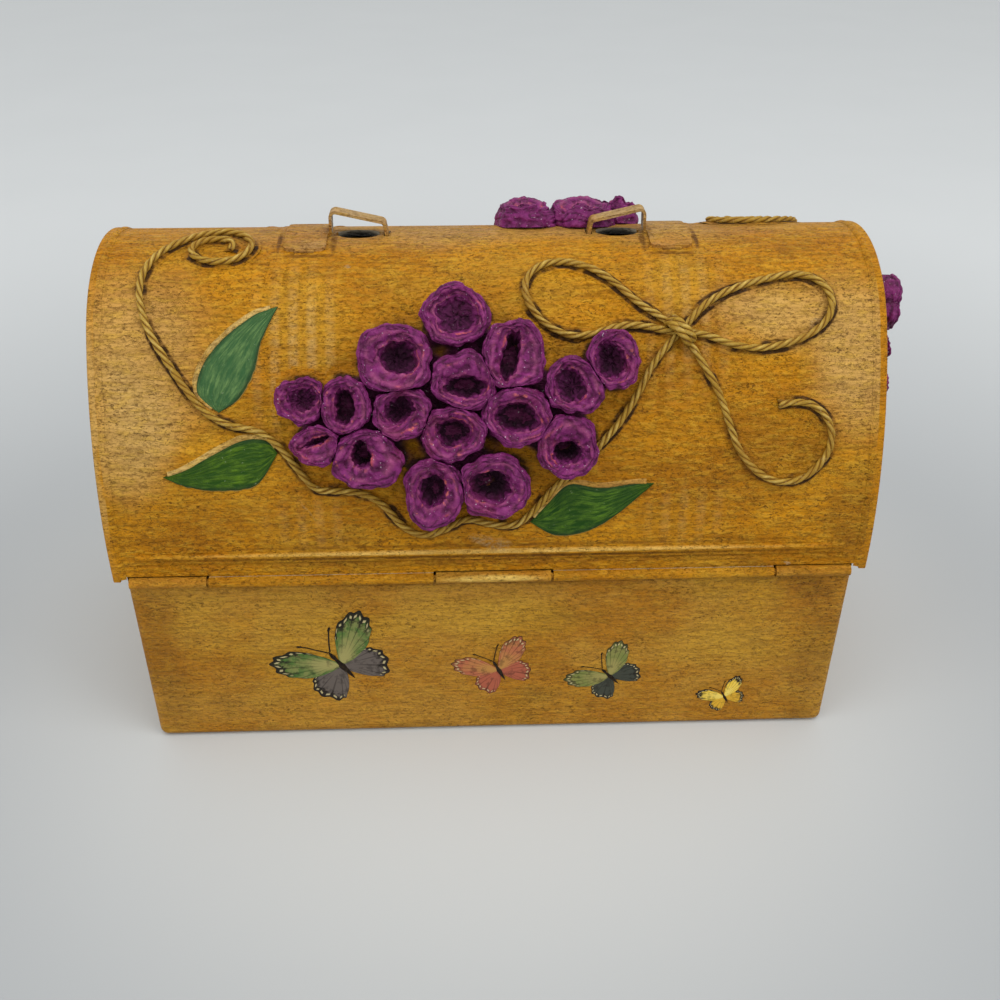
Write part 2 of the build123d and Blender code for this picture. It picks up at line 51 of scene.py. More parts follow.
bpy.ops.object.camera_add()
camera = bpy.context.object
camera.matrix_world = Matrix.Translation(camera_place) @ Matrix((across, up, -look)).transposed().to_4x4()
camera.data.sensor_width = 36.0
camera.data.lens = 39.62
camera.data.clip_end = 60.0
bpy.context.scene.camera = camera
bpy.context.scene.view_settings.view_transform = "Standard"

# The box stands on a pale grey sheet in a room with soft light from above and both sides.
# The sheet and the room have the same grey, so that no horizon shows from the camera.


def join(node, inputs):
    """Links a node's inputs to sockets, or sets them to values"""
    for name, value in inputs.items():
        if isinstance(value, bpy.types.NodeSocket):
            value.id_data.links.new(value, node.inputs[name])
        elif node.inputs[name].type == "RGBA":
            node.inputs[name].default_value = (*value, 1)
        else:
            node.inputs[name].default_value = value


def brush(kind, inputs, output=0, **settings):
    """One output of a new shader node, in the tree of the sockets that are linked to it"""
    tree = next(value.id_data for value in inputs.values() if isinstance(value, bpy.types.NodeSocket))
    made = tree.nodes.new("ShaderNode" + kind)
    for name, value in settings.items():
        setattr(made, name, value)
    join(made, inputs)
    return made.outputs[output]


def mixed(factor, under, over):
    """Colour laid over another by a factor"""
    return brush("Mix", {0: factor, 6: under, 7: over}, 2, data_type="RGBA")


def ramp(value, low, high):
    """Smooth step of a value from 0 at low to 1 at high"""
    limits = {"Value": value, "From Min": low, "From Max": high}
    return brush("MapRange", limits, interpolation_type="SMOOTHSTEP")


def noisy(place, counts, detail, roughness=0.5, turn=0.0, output=0):
    """Noise in marks of the given counts per metre, one for all axes or one for each"""
    counts = counts if isinstance(counts, tuple) else (counts, counts, counts)
    stretched = brush("Mapping", {"Vector": place, "Scale": counts, "Rotation": (0, 0, turn)})
    marks = {"Vector": stretched, "Scale": 1, "Detail": detail, "Roughness": roughness}
    return brush("TexNoise", marks, output)


def vectors(operation, first, second=(0, 0, 0)):
    """Arithmetic on places or directions"""
    output = "Value" if operation in ("LENGTH", "DISTANCE", "DOT_PRODUCT") else "Vector"
    return brush("VectorMath", {0: first, 1: second}, output, operation=operation)


def part(place, axis):
    """One coordinate of a place"""
    return brush("SeparateXYZ", {0: place}, axis)


def new_material(name):
    """Empty material, and the place on the object, where its nodes start"""
    material = bpy.data.materials.new(name)
    material.use_nodes = True
    return material, material.node_tree.nodes.new("ShaderNodeTexCoord").outputs["Object"]


def finish(material, colour, gloss, specular, relief=None, strength=0.0, depth=0.0, metal=0.0):
    """Gives a material its colour, roughness, specular level and metal, and bump from a relief"""
    inputs = {"Base Color": colour, "Roughness": gloss, "Specular IOR Level": specular, "Metallic": metal}
    if relief:
        inputs["Normal"] = brush("Bump", {"Height": relief, "Strength": strength, "Distance": depth})
    join(material.node_tree.nodes["Principled BSDF"], inputs)


bpy.ops.mesh.primitive_plane_add(size=40.0, location=(0, 0, 0))
floor = bpy.context.object
floor.name = "grey_sheet"
bpy.ops.object.mode_set(mode="EDIT")
bpy.ops.mesh.subdivide(number_cuts=6)
bpy.ops.object.mode_set(mode="OBJECT")
sheet_paper, place = new_material("grey_sheet_paper")
tone = mixed(noisy(place, 9, 3), (0.635, 0.652, 0.658), (0.660, 0.677, 0.683))
# Painted shade on the sheet: a broad darker area in front of the box, and a painted shadow close round its
# foot.
for spot_y, far, near, shade in (
    (-0.20, 0.85, 0.20, (0.395, 0.410, 0.420)),
    (0.0, 0.26, 0.08, (0.615, 0.628, 0.620)),
):
    tone = mixed(ramp(vectors("DISTANCE", place, (0, spot_y, 0)), far, near), tone, shade)
finish(sheet_paper, tone, 0.85, 0.2)
floor.data.materials.append(sheet_paper)

world = bpy.data.worlds.new("studio")
bpy.context.scene.world = world
world.use_nodes = True
tree = world.node_tree
overhead = part(tree.nodes.new("ShaderNodeTexCoord").outputs["Generated"], "Z")
room_light = {"Value": overhead, "From Min": -0.05, "From Max": 1.0, "To Min": 0.50, "To Max": 0.92}
room_light = brush("MapRange", room_light)
in_view = tree.nodes.new("ShaderNodeLightPath").outputs["Is Camera Ray"]
room_seen = 0.58
strength = brush("Mix", {0: in_view, 2: room_light, 3: room_seen}, data_type="FLOAT")
join(tree.nodes["Background"], {"Color": (0.985, 1.0, 1.0), "Strength": strength})

for name, position, size, energy in (
    ("top_light", (0.10, -0.45, 1.5), 0.7, 5.0),
    ("left_light", (-1.2, -0.75, 0.90), 0.9, 4.5),
    ("right_light", (1.2, -0.70, 0.95), 0.9, 6.0),
):
    bpy.ops.object.light_add(type="AREA", location=position)
    lamp = bpy.context.object
    lamp.name = name
    lamp.data.size = size
    lamp.data.energy = energy
    lamp.rotation_euler = (Vector((0, 0, 0.08)) - lamp.location).to_track_quat("-Z", "Y").to_euler()

# The body is a trough of pressed steel sheet: one wrap for bottom, front and rear, and two end plates.
# It is brush painted in golden ochre, with a brown glaze wiped along it that stays in the brush marks.
ochre = (0.575, 0.238, 0.004)
ochre_amber = (0.420, 0.148, 0.001)
ochre_dull = (0.530, 0.258, 0.030)
ochre_pale = (0.660, 0.385, 0.032)
# Whitish pale for rubbed paint, and for painted sheen and highlights
worn_and_highlight_pale = (0.620, 0.385, 0.120)
rubbed_rib = (0.62, 0.38, 0.13)
# Brown and dark brown of the glaze, also used for painted shade and painted shadows
glaze_brown = (0.130, 0.048, 0.004)
glaze_dark = (0.030, 0.012, 0.003)
bare_steel = (0.060, 0.058, 0.052)
inner_lacquer = (0.42, 0.36, 0.26)


def sums(operation, first, second=0.0, third=0.0):
    """Arithmetic on numbers"""
    return brush("Math", {0: first, 1: second, 2: third}, operation=operation)


def times(first, second):
    return sums("MULTIPLY", first, second)


def scaled(value, gain, base):
    """A value times a gain, added to a base"""
    return sums("MULTIPLY_ADD", value, gain, base)


def grain(place, counts, low, high, detail=4):
    """Mask of noise"""
    return ramp(noisy(place, counts, detail, 0.6), low, high)


def patch(place, centre, size, soft=0.5):
    """Mask that is 1 inside an ellipsoid, given in millimetres, and fades over its soft outer share"""
    scale = [1000 / half for half in size]
    shift = [-middle / half for middle, half in zip(centre, size)]
    shares = brush("Mapping", {"Vector": place, "Scale": scale, "Location": shift})
    return ramp(vectors("LENGTH", shares), 1.0, 1.0 - soft)


def fact(place, name):
    """Number kept with the mesh's points under a name"""
    made = place.id_data.nodes.new("ShaderNodeAttribute")
    made.attribute_name = name
    return made.outputs["Fac"]


def uv_place(place, name):
    """Place on the mesh's map of a name"""
    made = place.id_data.nodes.new("ShaderNodeUVMap")
    made.uv_map = name
    return made.outputs[0]


def coated(colour, *coats):
    """Colour under coats of others, each given as masks and shares, which are multiplied, and its colour"""
    for strength, *others, over in coats:
        for other in others:
            strength = times(strength, other)
        colour = mixed(strength, colour, over)
    return colour


def ochre_paint(name, colour, centre, inner=(0, 1, 1), reach=1.0, wear=1.0, patches=(), lines=(), marks=(),
                ribs=None, steel=()):
    """Brushed ochre paint under a wiped brown glaze, with lacquer on the faces that look at the centre, and
    painted shade beside glued pieces where the mesh keeps a share of it
    """
    material, place = new_material(name)
    drift = vectors("SUBTRACT", noisy(place, 45, 3, output=1), (0.5, 0.5, 0.5))
    drift = vectors("MULTIPLY", drift, (0.022, 0.022, 0.022))
    drifted = vectors("ADD", place, drift)
    streaks = grain(place, (55, 420, 420), 0.42, 0.70, 5)
    hatching = grain(place, (200, 560, 560), 0.44, 0.66)
    clouds = grain(place, (26, 38, 38), 0.42, 0.60, 5)
    worn_clouds = grain(place, (20, 30, 30), 0.48, 0.70, 5)
    dark_clouds = grain(place, (34, 60, 60), 0.54, 0.72, 5)
    fine = grain(place, (75, 1150, 1150), 0.44, 0.64, 3)
    crumbs = grain(place, (520, 1000, 1000), 0.50, 0.68, 3)
    crumbs_where = grain(place, (75, 110, 110), 0.30, 0.70)
    flecks = grain(place, (700, 1300, 1300), 0.59, 0.65, 2)
    flecks_where = grain(place, (60, 90, 90), 0.44, 0.62)
    dots = grain(place, (1200, 1500, 1500), 0.64, 0.70, 1)
    scratches = grain(place, (110, 1000, 1000), 0.66, 0.76, 2)
    broken = grain(place, (260, 420, 420), 0.30, 0.62)
    pooled_and_shaded = times(fact(place, "glaze"), scaled(broken, 0.45, 0.55))
    inward = vectors("MULTIPLY", vectors("SUBTRACT", place, centre), inner)
    inside = sums("LESS_THAN", vectors("DOT_PRODUCT", inward, place.node.outputs["Normal"]), -0.001)
    across = sums("ABSOLUTE", part(place, "X"))
    paint = coated(
        colour,
        (clouds, 0.60, ochre_amber),
        (worn_clouds, 0.34, ochre_pale),
        (dark_clouds, 0.34, glaze_brown),
        *((patch(drifted, spot, size, 0.75), share, tint) for spot, size, share, tint in patches),
        (streaks, 0.26 * wear, glaze_brown),
        (fine, 0.17 + 0.10 * wear, glaze_brown),
        (hatching, 0.30 * wear, ochre_pale),
        (crumbs, scaled(crumbs_where, 0.40 * wear, 0.10 * wear), glaze_brown),
        *([(ribs(place), rubbed_rib)] if ribs else []),
        *((patch(place, spot, size, 0.6), scaled(hatching, -share * 0.5, share), tint)
          for spot, size, share, tint in lines),
        *((patch(drifted, spot, size, 0.45), grain(place, (900, 1300, 1300), 0.30, 0.75), 0.65, tint)
          for spot, size, tint in marks),
        (scratches, 0.40, ochre_pale),
        (flecks, scaled(flecks_where, 0.45, 0.10 * wear), glaze_dark),
        (dots, 0.50, glaze_brown),
        # Pooled glaze and painted shadow beside glued pieces: brown, and dark brown where it is strongest
        (pooled_and_shaded, 0.85, glaze_brown),
        (ramp(pooled_and_shaded, 0.45, 0.90), 0.9, glaze_dark),
        (inside, sums("GREATER_THAN", across, inner[0]), sums("LESS_THAN", across, reach), inner_lacquer),
    )
    metal = 0.0
    if steel:
        bare = sums("MAXIMUM", *(patch(place, spot, size, 0.12) for spot, size in steel))
        paint = mixed(bare, paint, bare_steel)
        metal = times(bare, 0.4)
    gloss = scaled(flecks, 0.2, scaled(streaks, 0.14, 0.44))
    relief = hatching
    lumps = grain(place, (150, 190, 190), 0.30, 0.75)
    for mask, height in ((streaks, 0.7), (crumbs, -1.2), (flecks, -1.0), (lumps, 1.5)):
        relief = scaled(mask, height, relief)
    finish(material, paint, gloss, 0.13, relief, 0.8, 0.00034, metal)
    return material


def dress(material, *nodes):
    """Gives CAD pieces their finish"""
    for node in nodes:
        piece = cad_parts[node]
        if not piece.material_slots:
            piece.data.materials.append(material)
        for slot in piece.material_slots:
            slot.material = material


def mirrored(spot, size, share, tint):
    """The same patch of paint on the left and the right"""
    return [((side * spot[0], *spot[1:]), size, share, tint) for side in (-1, 1)]


body_paint = ochre_paint(
    "body_paint", ochre_dull, (0, 0, 0.040), reach=0.1252, wear=0.55,
    patches=[
        ((-20, -60, 55), (70, 20, 12), 0.30, ochre_pale),
        ((90, -60, 40), (50, 20, 20), 0.25, ochre_pale),
        ((0, -60, 1), (140, 20, 4), 0.3, glaze_brown),
        *mirrored((118, -60, 30), (12, 20, 50), 0.3, glaze_brown),
    ],
    lines=[
        # A painted shadow under the lid's knuckles; a paler top on the middle knuckle, partly rubbed gold
        # paint and partly a painted highlight; a painted highlight along the bottom edge.
        ((0, -60.5, 70.8), (128, 3, 1.8), 0.60, glaze_brown),
        ((0, -63.2, 73.8), (21, 2.2, 1.8), 1.0, (0.80, 0.52, 0.12)),
        ((0, -60.5, 0.3), (150, 4, 1), 0.9, (0.66, 0.60, 0.52)),
    ],
)
dress(body_paint, "body_wrap")
dress(ochre_paint("body_end_paint", ochre_dull, (0, 0, 0.040), inner=(0.1, 0, 0), wear=0.35),
      "body_end_left", "body_end_right")

# The latch pins and the four rivets are plain steel wire, and the latch plates and hasps are plated sheet.
# All are dulled by age, with small brown spots. The hinge pin was painted over with the body.


def aged_steel(name, colour, gloss):
    material, place = new_material(name)
    spots = grain(place, 500, 0.56, 0.68)
    haze = grain(place, 120, 0.35, 0.7)
    draw_marks = grain(place, (60, 2600, 2600), 0.3, 0.7, 2)
    dulled = coated(colour, (haze, 0.5, (0.22, 0.20, 0.17)), (spots, 0.7, (0.11, 0.055, 0.022)))
    metal = scaled(spots, -0.8, 1.0)
    finish(material, dulled, scaled(haze, 0.22, gloss), 0.5, draw_marks, 0.2, 0.00005, metal)
    return material


dress(body_paint, "hinge_pin")
dress(aged_steel("wire_steel", (0.42, 0.40, 0.36), 0.38),
      "latch_pin_left", "latch_pin_right", "latch_rivets")
dress(aged_steel("plated_steel", (0.56, 0.53, 0.46), 0.26),
      "latch_base_left", "latch_base_right", "latch_hasp_left", "latch_hasp_right")

# The lid is a rolled sheet with two side arcs and a tighter crown arc, and end plates with folded rims.
# Its paint is richer than the body's and rubbed pale on the ribs. Its pale band along the crown is a painted
# reflection, and its whitish patches on the upper sides and inside the right bow loop are partly rubbed
# paint and partly painted sheen.
half_depth = 0.061
seam = 0.075
arch_height = 0.0995
crown_radius = 0.044
side_radius = half_depth**2 + arch_height**2 - 2 * arch_height * crown_radius
side_radius = side_radius / (2 * (half_depth - crown_radius))
join_angle = acos((side_radius - half_depth) / (side_radius - crown_radius))
side_arc = side_radius * join_angle
half_arch = side_arc + crown_radius * (pi / 2 - join_angle)
crown_centre = seam + arch_height - crown_radius
rib_spacing = 0.006
rib_start = 0.052
rib_height = 0.00028
rib_half_width = 0.0023


def lid_angle(distance):
    """Slope of the sheet at a distance up the hinge side from the seam"""
    if distance > half_arch:
        return pi - lid_angle(2 * half_arch - distance)
    if distance < side_arc:
        return distance / side_radius
    return join_angle + (distance - side_arc) / crown_radius


def lid_out(distance):
    """Direction straight out of the sheet at a distance in millimetres"""
    angle = lid_angle(distance / 1000)
    return Vector((0, -cos(angle), sin(angle)))


def on_lid(x, distance, height=0.0):
    """Point at a height off the sheet, by x and the distance up from the seam, all in millimetres"""
    side = 1 if distance < 1000 * half_arch else -1
    centre, radius = Vector((x / 1000, side * (side_radius - half_depth), seam)), side_radius
    if 1000 * side_arc <= distance <= 1000 * (2 * half_arch - side_arc):
        centre, radius = Vector((x / 1000, 0, crown_centre)), crown_radius
    return centre + lid_out(distance) * (radius + height / 1000)


def lid_rows(*rows):
    """Patches of paint on the lid, each with the x and distance of its middle, its size and its strength"""
    return [(1000 * on_lid(*middle), *row) for middle, *row in rows]


def worn_ribs(place):
    """Mask for the rubbed crests of the two groups of pressed ribs"""
    off = sums("SUBTRACT", sums("ABSOLUTE", part(place, "X")), rib_start)
    crest = ramp(sums("COSINE", times(off, 2 * pi / rib_spacing)), -0.9, 1.0)
    group = ramp(sums("ABSOLUTE", sums("SUBTRACT", off, 2 * rib_spacing)), 0.0150, 0.0135)
    where = 0.0
    for spot, size, soft, share in (
        ((-62, -50, 150), (26, 60, 38), 0.9, 1.0),
        ((64, -40, 158), (26, 50, 30), 0.9, 0.75),
        ((66, -61, 96), (22, 30, 16), 0.8, 0.35),
        ((-60, -61, 96), (22, 30, 14), 0.8, 0.35),
    ):
        where = sums("MAXIMUM", times(patch(place, spot, size, soft), share), where)
    broken = scaled(grain(place, (200, 330, 330), 0.34, 0.66), 0.45, 0.12)
    return times(times(crest, group), times(where, broken))


lid_paint = ochre_paint(
    "lid_paint", ochre, (0, 0, 0.074),
    patches=lid_rows(
        # The whitish patches are partly rubbed paint and partly painted sheen, and the crown's pale band is
        # a painted reflection.
        ((-114, 76), (34, 40, 44), 0.62, worn_and_highlight_pale),
        ((-116, 54), (20, 30, 34), 0.70, worn_and_highlight_pale),
        ((92, 88), (30, 18, 16), 0.65, worn_and_highlight_pale),
        ((120, 76), (24, 30, 40), 0.70, worn_and_highlight_pale),
        ((0, 131), (150, 18, 9), 0.60, (0.43, 0.26, 0.100)),
        ((-62, 88), (20, 30, 30), 0.35, ochre_pale),
        ((62, 98), (18, 20, 18), 0.35, ochre_pale),
        ((70, 40), (40, 30, 30), 0.20, glaze_brown),
        ((-100, 22), (40, 30, 20), 0.20, glaze_brown),
        ((60, 78), (30, 30, 24), 0.20, glaze_brown),
        ((98, 48), (20, 30, 16), 0.35, glaze_brown),
        ((-20, 90), (30, 30, 16), 0.20, glaze_brown),
        ((122, 20), (14, 30, 24), 0.35, glaze_brown),
    ),
    lines=[
        *lid_rows(
            # Along the bead: a painted highlight on its top, and painted shade in a line under it, a line
            # over it and the band below it.
            ((0, 9.2), (123, 6, 0.9), 0.85, (0.74, 0.46, 0.11)),
            ((0, 5), (130, 6, 2), 0.45, glaze_brown),
            ((0, 11.3), (124, 6, 0.9), 0.50, glaze_brown),
            ((0, 6.9), (124, 6, 0.8), 0.85, glaze_brown),
        ),
        ((0, -63.2, 74.8), (128, 2.6, 1.2), 0.50, (0.40, 0.17, 0.008)),
        # Painted shadow along the edges of the two handle pads.
        *mirrored((70.2, -6, 174.5), (1.1, 10.5, 6), 0.9, glaze_brown),
        *mirrored((61, -14.6, 172.2), (11.5, 1.1, 4), 0.7, glaze_brown),
        *mirrored((52, -6, 174.5), (1.6, 10.5, 6), 0.8, glaze_brown),
    ],
    marks=lid_rows(
        ((1.2, 12.4), (6, 6, 3), (0.46, 0.31, 0.15)),
        ((101.2, 4.6), (1.6, 4, 1.6), (0.62, 0.50, 0.34)),
        ((-46, 110.1), (1.6, 4, 1.2), (0.40, 0.30, 0.18)),
        ((-89.9, 26), (0.7, 4, 5.8), (0.55, 0.42, 0.28)),
        ((-61.4, 21), (0.9, 4, 9), (0.50, 0.34, 0.14)),
        ((-50, 13), (1.1, 4, 6), (0.48, 0.32, 0.14)),
        ((108, 84), (3, 3, 5), (0.58, 0.40, 0.20)),
    ),
    ribs=worn_ribs,
    steel=[((side * 44.2, 0, 172), (8.3, 4.9, 4.6)) for side in (1, -1)],
)
rim_paint = ochre_paint(
    "rim_paint", ochre, (0, 0, 0.105), inner=(0.128, 0, 0), wear=0.45,
    # A whitish patch on the left end, partly rubbed paint and partly painted sheen, and painted highlights
    # along both rims' rounded outer edges.
    patches=[((-129, -50, 130), (6, 50, 60), 0.7, worn_and_highlight_pale)],
    lines=[
        ((130.5, 0, 125), (1.2, 80, 80), 0.6, worn_and_highlight_pale),
        ((-130.5, 0, 125), (1.2, 80, 80), 0.8, worn_and_highlight_pale),
    ],
)
dress(lid_paint, "lid_dome")
dress(rim_paint, "lid_end_left", "lid_end_right")

# The two handle brackets are bent from thin steel and painted with the lid, rubbed dull at their edges.
# Each has a pad over the crown and a strap that stands up, slopes inwards and goes through the lid.
worn_edge = (0.52, 0.36, 0.17)
bracket_paint = ochre_paint(
    "bracket_paint", (0.490, 0.270, 0.085), (0, 0, 0.105),
    patches=mirrored((45, 0, 181), (20, 10, 6), 0.7, worn_edge),
    lines=[
        # Darker where the strap stands up from the pad, and painted shadow along the pad's outer end and
        # lower edge.
        *mirrored((53.5, 0, 175), (3, 12, 4), 0.5, glaze_brown),
        *mirrored((70, -6, 174.5), (1.1, 10.5, 6), 0.9, glaze_brown),
        *mirrored((61.4, -13.2, 171.5), (10, 1.1, 3), 0.7, glaze_brown),
    ],
)
dress(bracket_paint, "handle_bracket_left", "handle_bracket_right")

# The twine is a three-ply cord of about 3 mm, glued along its whole length and painted over with the box.
# It makes a scroll and vine, two bow loops, a curled tail and a knot, with glaze pooled beside it and a
# painted shadow along it, strongest on its right and lower side.
vine_places = [
    (-85.6, 115.2), (-84.4, 118.4), (-87.4, 121.6), (-92.8, 121.8), (-97.4, 118.8), (-98.8, 114.4),
    (-95.2, 110.6), (-88.4, 109.2), (-81.4, 111.4), (-78.2, 117.0), (-80.6, 123.4), (-86.6, 127.4),
    (-93.8, 126.6), (-100.6, 122.0), (-107.2, 116.0), (-112.0, 108.6), (-113.6, 100.0), (-112.2, 91.4),
    (-108.8, 83.2), (-104.0, 75.2), (-98.8, 67.0), (-93.0, 59.2), (-85.0, 54.6), (-76.4, 53.6),
    (-69.4, 48.2), (-63.8, 40.0), (-58.6, 32.6), (-50.4, 32.8), (-41.8, 31.6), (-35.4, 26.6), (-31.0, 19.6),
    (-23.4, 15.4), (-15.6, 18.6), (-8.8, 22.6), (-1.2, 19.8), (7.0, 18.6), (13.4, 24.2), (20.2, 32.8),
    (28.8, 39.6), (35.4, 47.0), (42.0, 54.6), (47.2, 62.8), (51.4, 71.4), (56.0, 77.6), (60.6, 82.4),
]
left_loop_places = [
    (61.8, 82.6), (57.2, 86.6), (48.4, 92.0), (41.8, 98.8), (34.4, 105.0), (25.8, 108.4), (17.6, 107.6),
    (12.0, 102.8), (10.9, 96.8), (13.2, 90.6), (18.6, 85.0), (26.0, 81.8), (33.6, 82.6), (41.0, 85.2),
    (49.0, 85.4), (56.0, 83.6), (61.4, 82.6),
]
right_loop_places = [
    (60.8, 82.4), (64.4, 86.2), (68.6, 91.0), (74.8, 95.2), (82.6, 98.4), (91.0, 100.6), (99.4, 102.4),
    (106.4, 101.2), (110.8, 96.8), (112.0, 91.0), (109.2, 85.4), (103.4, 81.2), (95.4, 78.4), (86.8, 77.2),
    (78.4, 78.6), (71.6, 81.4), (66.0, 82.8), (61.0, 82.6),
]
tail_places = [
    (61.4, 83.0), (65.0, 79.0), (68.4, 73.0), (72.6, 66.4), (75.8, 58.8), (78.4, 50.6), (82.0, 42.8),
    (87.8, 36.4), (94.8, 33.0), (102.2, 33.6), (108.2, 38.2), (112.0, 45.0), (111.6, 52.2), (107.6, 57.8),
    (101.0, 60.4), (93.4, 59.4),
]
# The front has the same scroll turned half round, pushed a little forwards where it comes up over the crest
scroll_top = 127.4
scroll_push = 8.0
front_scroll_places = [
    (-x, 2000 * half_arch - distance + scroll_push * exp((distance - scroll_top) / 10))
    for x, distance in vine_places[:20]
]
knot_places = [
    (56.8, 86.6, 0.6), (57.6, 85.8, 3.2), (59.0, 84.2, 4.8), (60.8, 82.3, 5.1), (62.4, 80.7, 4.6),
    (63.6, 79.4, 3.0), (64.2, 78.6, 0.6),
]


def spline_points(places):
    """Points along a smooth spline whose control points are x, distance and height in millimetres"""
    line = bpy.data.curves.new("route", "CURVE")
    line.dimensions = "3D"
    line.resolution_u = 14
    spline = line.splines.new("NURBS")
    spline.points.add(len(places) - 1)
    for point, place in zip(spline.points, places):
        point.co = (*on_lid(*place), 1.0)
    spline.use_endpoint_u = True
    spline.order_u = 3
    carrier = bpy.data.objects.new("route", line)
    bpy.context.scene.collection.objects.link(carrier)
    mesh = bpy.data.meshes.new_from_object(carrier)
    points = [vertex.co.copy() for vertex in mesh.vertices]
    bpy.data.objects.remove(carrier)
    return points


def off_arc(point):
    """Vector to a point from the centre of the arc that it lies over, and that arc's radius"""
    crown = Vector((0, point.y, point.z - crown_centre))
    if crown.normalized().z > sin(join_angle):
        return crown, crown_radius
    side = -1 if point.y < 0 else 1
    return Vector((0, point.y - side * (half_depth - side_radius), point.z - seam)), side_radius


def outward(point):
    """Direction out of the lid at a point near it"""
    return off_arc(point)[0].normalized()


def lid_height(point):
    """How far a point stands off the sheet"""
    reach, radius = off_arc(point)
    return reach.length - radius


def heading(points, number):
    """Vector from the point before one to the point after it"""
    return points[min(number + 1, len(points) - 1)] - points[max(number - 1, 0)]


def stations(points, step):
    """Even steps along a line: how far each is, its point, the way out of the lid and the way sideways"""
    lengths, spots = [0.0], [points[0]]
    travelled = 0.0
    following = step
    for start, end in zip(points, points[1:]):
        run = (end - start).length
        while run > 0 and travelled + run >= following:
            lengths.append(following)
            spots.append(start.lerp(end, (following - travelled) / run))
            following += step
        travelled += run
    outs = [outward(spot) for spot in spots]
    sideways = [heading(spots, number).cross(out).normalized() for number, out in enumerate(outs)]
    return list(zip(lengths, spots, outs, sideways))


def quads(rows, columns, start=0, closed=False, flipped=False):
    """Faces between rows of points; closed joins each row's last point to its first"""
    faces = []
    for row in range(rows - 1):
        for column in range(columns if closed else columns - 1):
            a = start + row * columns + column
            b = start + row * columns + (column + 1) % columns
            faces.append((a, a + columns, b + columns, b) if flipped else (a, b, b + columns, a + columns))
    return faces


def store(mesh, **facts):
    """Keeps numbers with a mesh's points under their names"""
    for name, values in facts.items():
        mesh.attributes.new(name, "FLOAT", "POINT").data.foreach_set("value", values)


def new_mesh(verts, faces, **facts):
    mesh = bpy.data.meshes.new("shape")
    mesh.from_pydata(verts, [], faces)
    store(mesh, **facts)
    return mesh


def keep_map(mesh, name, uvs):
    """Keeps a map with a mesh, from a place for each of its points"""
    layer = mesh.uv_layers.new(name=name)
    for loop in mesh.loops:
        layer.data[loop.index].uv = uvs[loop.vertex_index]
    return layer


def reworked(mesh, change):
    """Runs a change on the mesh's editing form"""
    shell = bmesh.new()
    shell.from_mesh(mesh)
    change(shell)
    shell.to_mesh(mesh)
    shell.free()


def ply_mesh(points, size=0.82, fray=0.0):
    """Three twisted plies about a line, with a ridge fact from 0 in the grooves to 1 on the outer side"""
    plies, sides = 3, 8
    ply_radius = 0.00084 * size
    ply_reach = 0.00062 * size
    full_turn = 0.0125
    frayed_length = 0.006
    tip_length = 0.0009
    steps = stations(points, step=0.00045)
    total = steps[-1][0]
    verts, faces, ridge, uvs = [], [], [], []
    for ply in range(plies):
        arms = []
        for along, point, out, beside in steps:
            angle = 2 * pi * (along / full_turn + ply / plies) + 1.1 * noise(point * 70)
            wander = 1 + 0.30 * noise(point * 260 + Vector((ply * 7, 0, 0)))
            spread = fray * max(0.0, 1 - (total - along) / frayed_length) * (1.2 + 0.7 * ply)
            arm = (out * sin(angle) + beside * cos(angle)) * ply_reach * wander
            arms.append(arm + beside * (cos(2.1 * ply) * ply_reach * spread))
        centres = [point + arm for (along, point, out, beside), arm in zip(steps, arms)]
        first_ring = len(verts)
        for number, (centre, arm, (along, point, out, beside)) in enumerate(zip(centres, arms, steps)):
            ahead = heading(centres, number).normalized()
            first = arm.cross(ahead).cross(ahead).normalized() * -1
            second = ahead.cross(first)
            swell = 1 + 0.20 * noise(centre * 380) + 0.10 * noise(centre * 1100)
            end_taper = min(1.0, 0.35 + min(along, total - along) / tip_length)
            for side in range(sides):
                turned = 2 * pi * side / sides
                direction = first * cos(turned) + second * sin(turned)
                verts.append(centre + direction * ply_radius * swell * end_taper)
                facing = max(0.0, direction.dot(arm.normalized()))
                ridge.append(facing * (0.65 + 0.35 * max(0.0, direction.dot(out))))
                uvs.append((along * 1000, side / sides))
        last_ring = len(verts) - sides
        faces += quads(len(centres), sides, first_ring, closed=True)
        faces.append(tuple(first_ring + side for side in reversed(range(sides))))
        faces.append(tuple(last_ring + side for side in range(sides)))
    mesh = new_mesh(verts, faces, ridge=ridge)
    keep_map(mesh, "along", uvs)
    reworked(mesh, lambda shell: bmesh.ops.recalc_face_normals(shell, faces=shell.faces))
    return mesh


def rib_rise(x):
    """Height of the pressed ribs at an x"""
    off = abs(x) - rib_start
    half_gap = rib_spacing / 2
    if not -half_gap < off < 5 * rib_spacing - half_gap:
        return 0.0
    near = abs((off + half_gap) % rib_spacing - half_gap)
    return rib_height * max(0.0, 1 - (near / rib_half_width) ** 2)


# Place across a fillet of glue, with its height and its share of glaze and painted shade
fillet_steps = [
    (-1.0, 0.0, 0.0), (-0.84, 0.04, 0.15), (-0.66, 0.14, 0.95), (-0.50, 0.32, 1.1), (0.0, 0.6, 1.1),
    (0.50, 0.32, 1.1), (0.66, 0.14, 0.95), (0.84, 0.04, 0.15), (1.0, 0.0, 0.0),
]
off_sheet = 0.00010


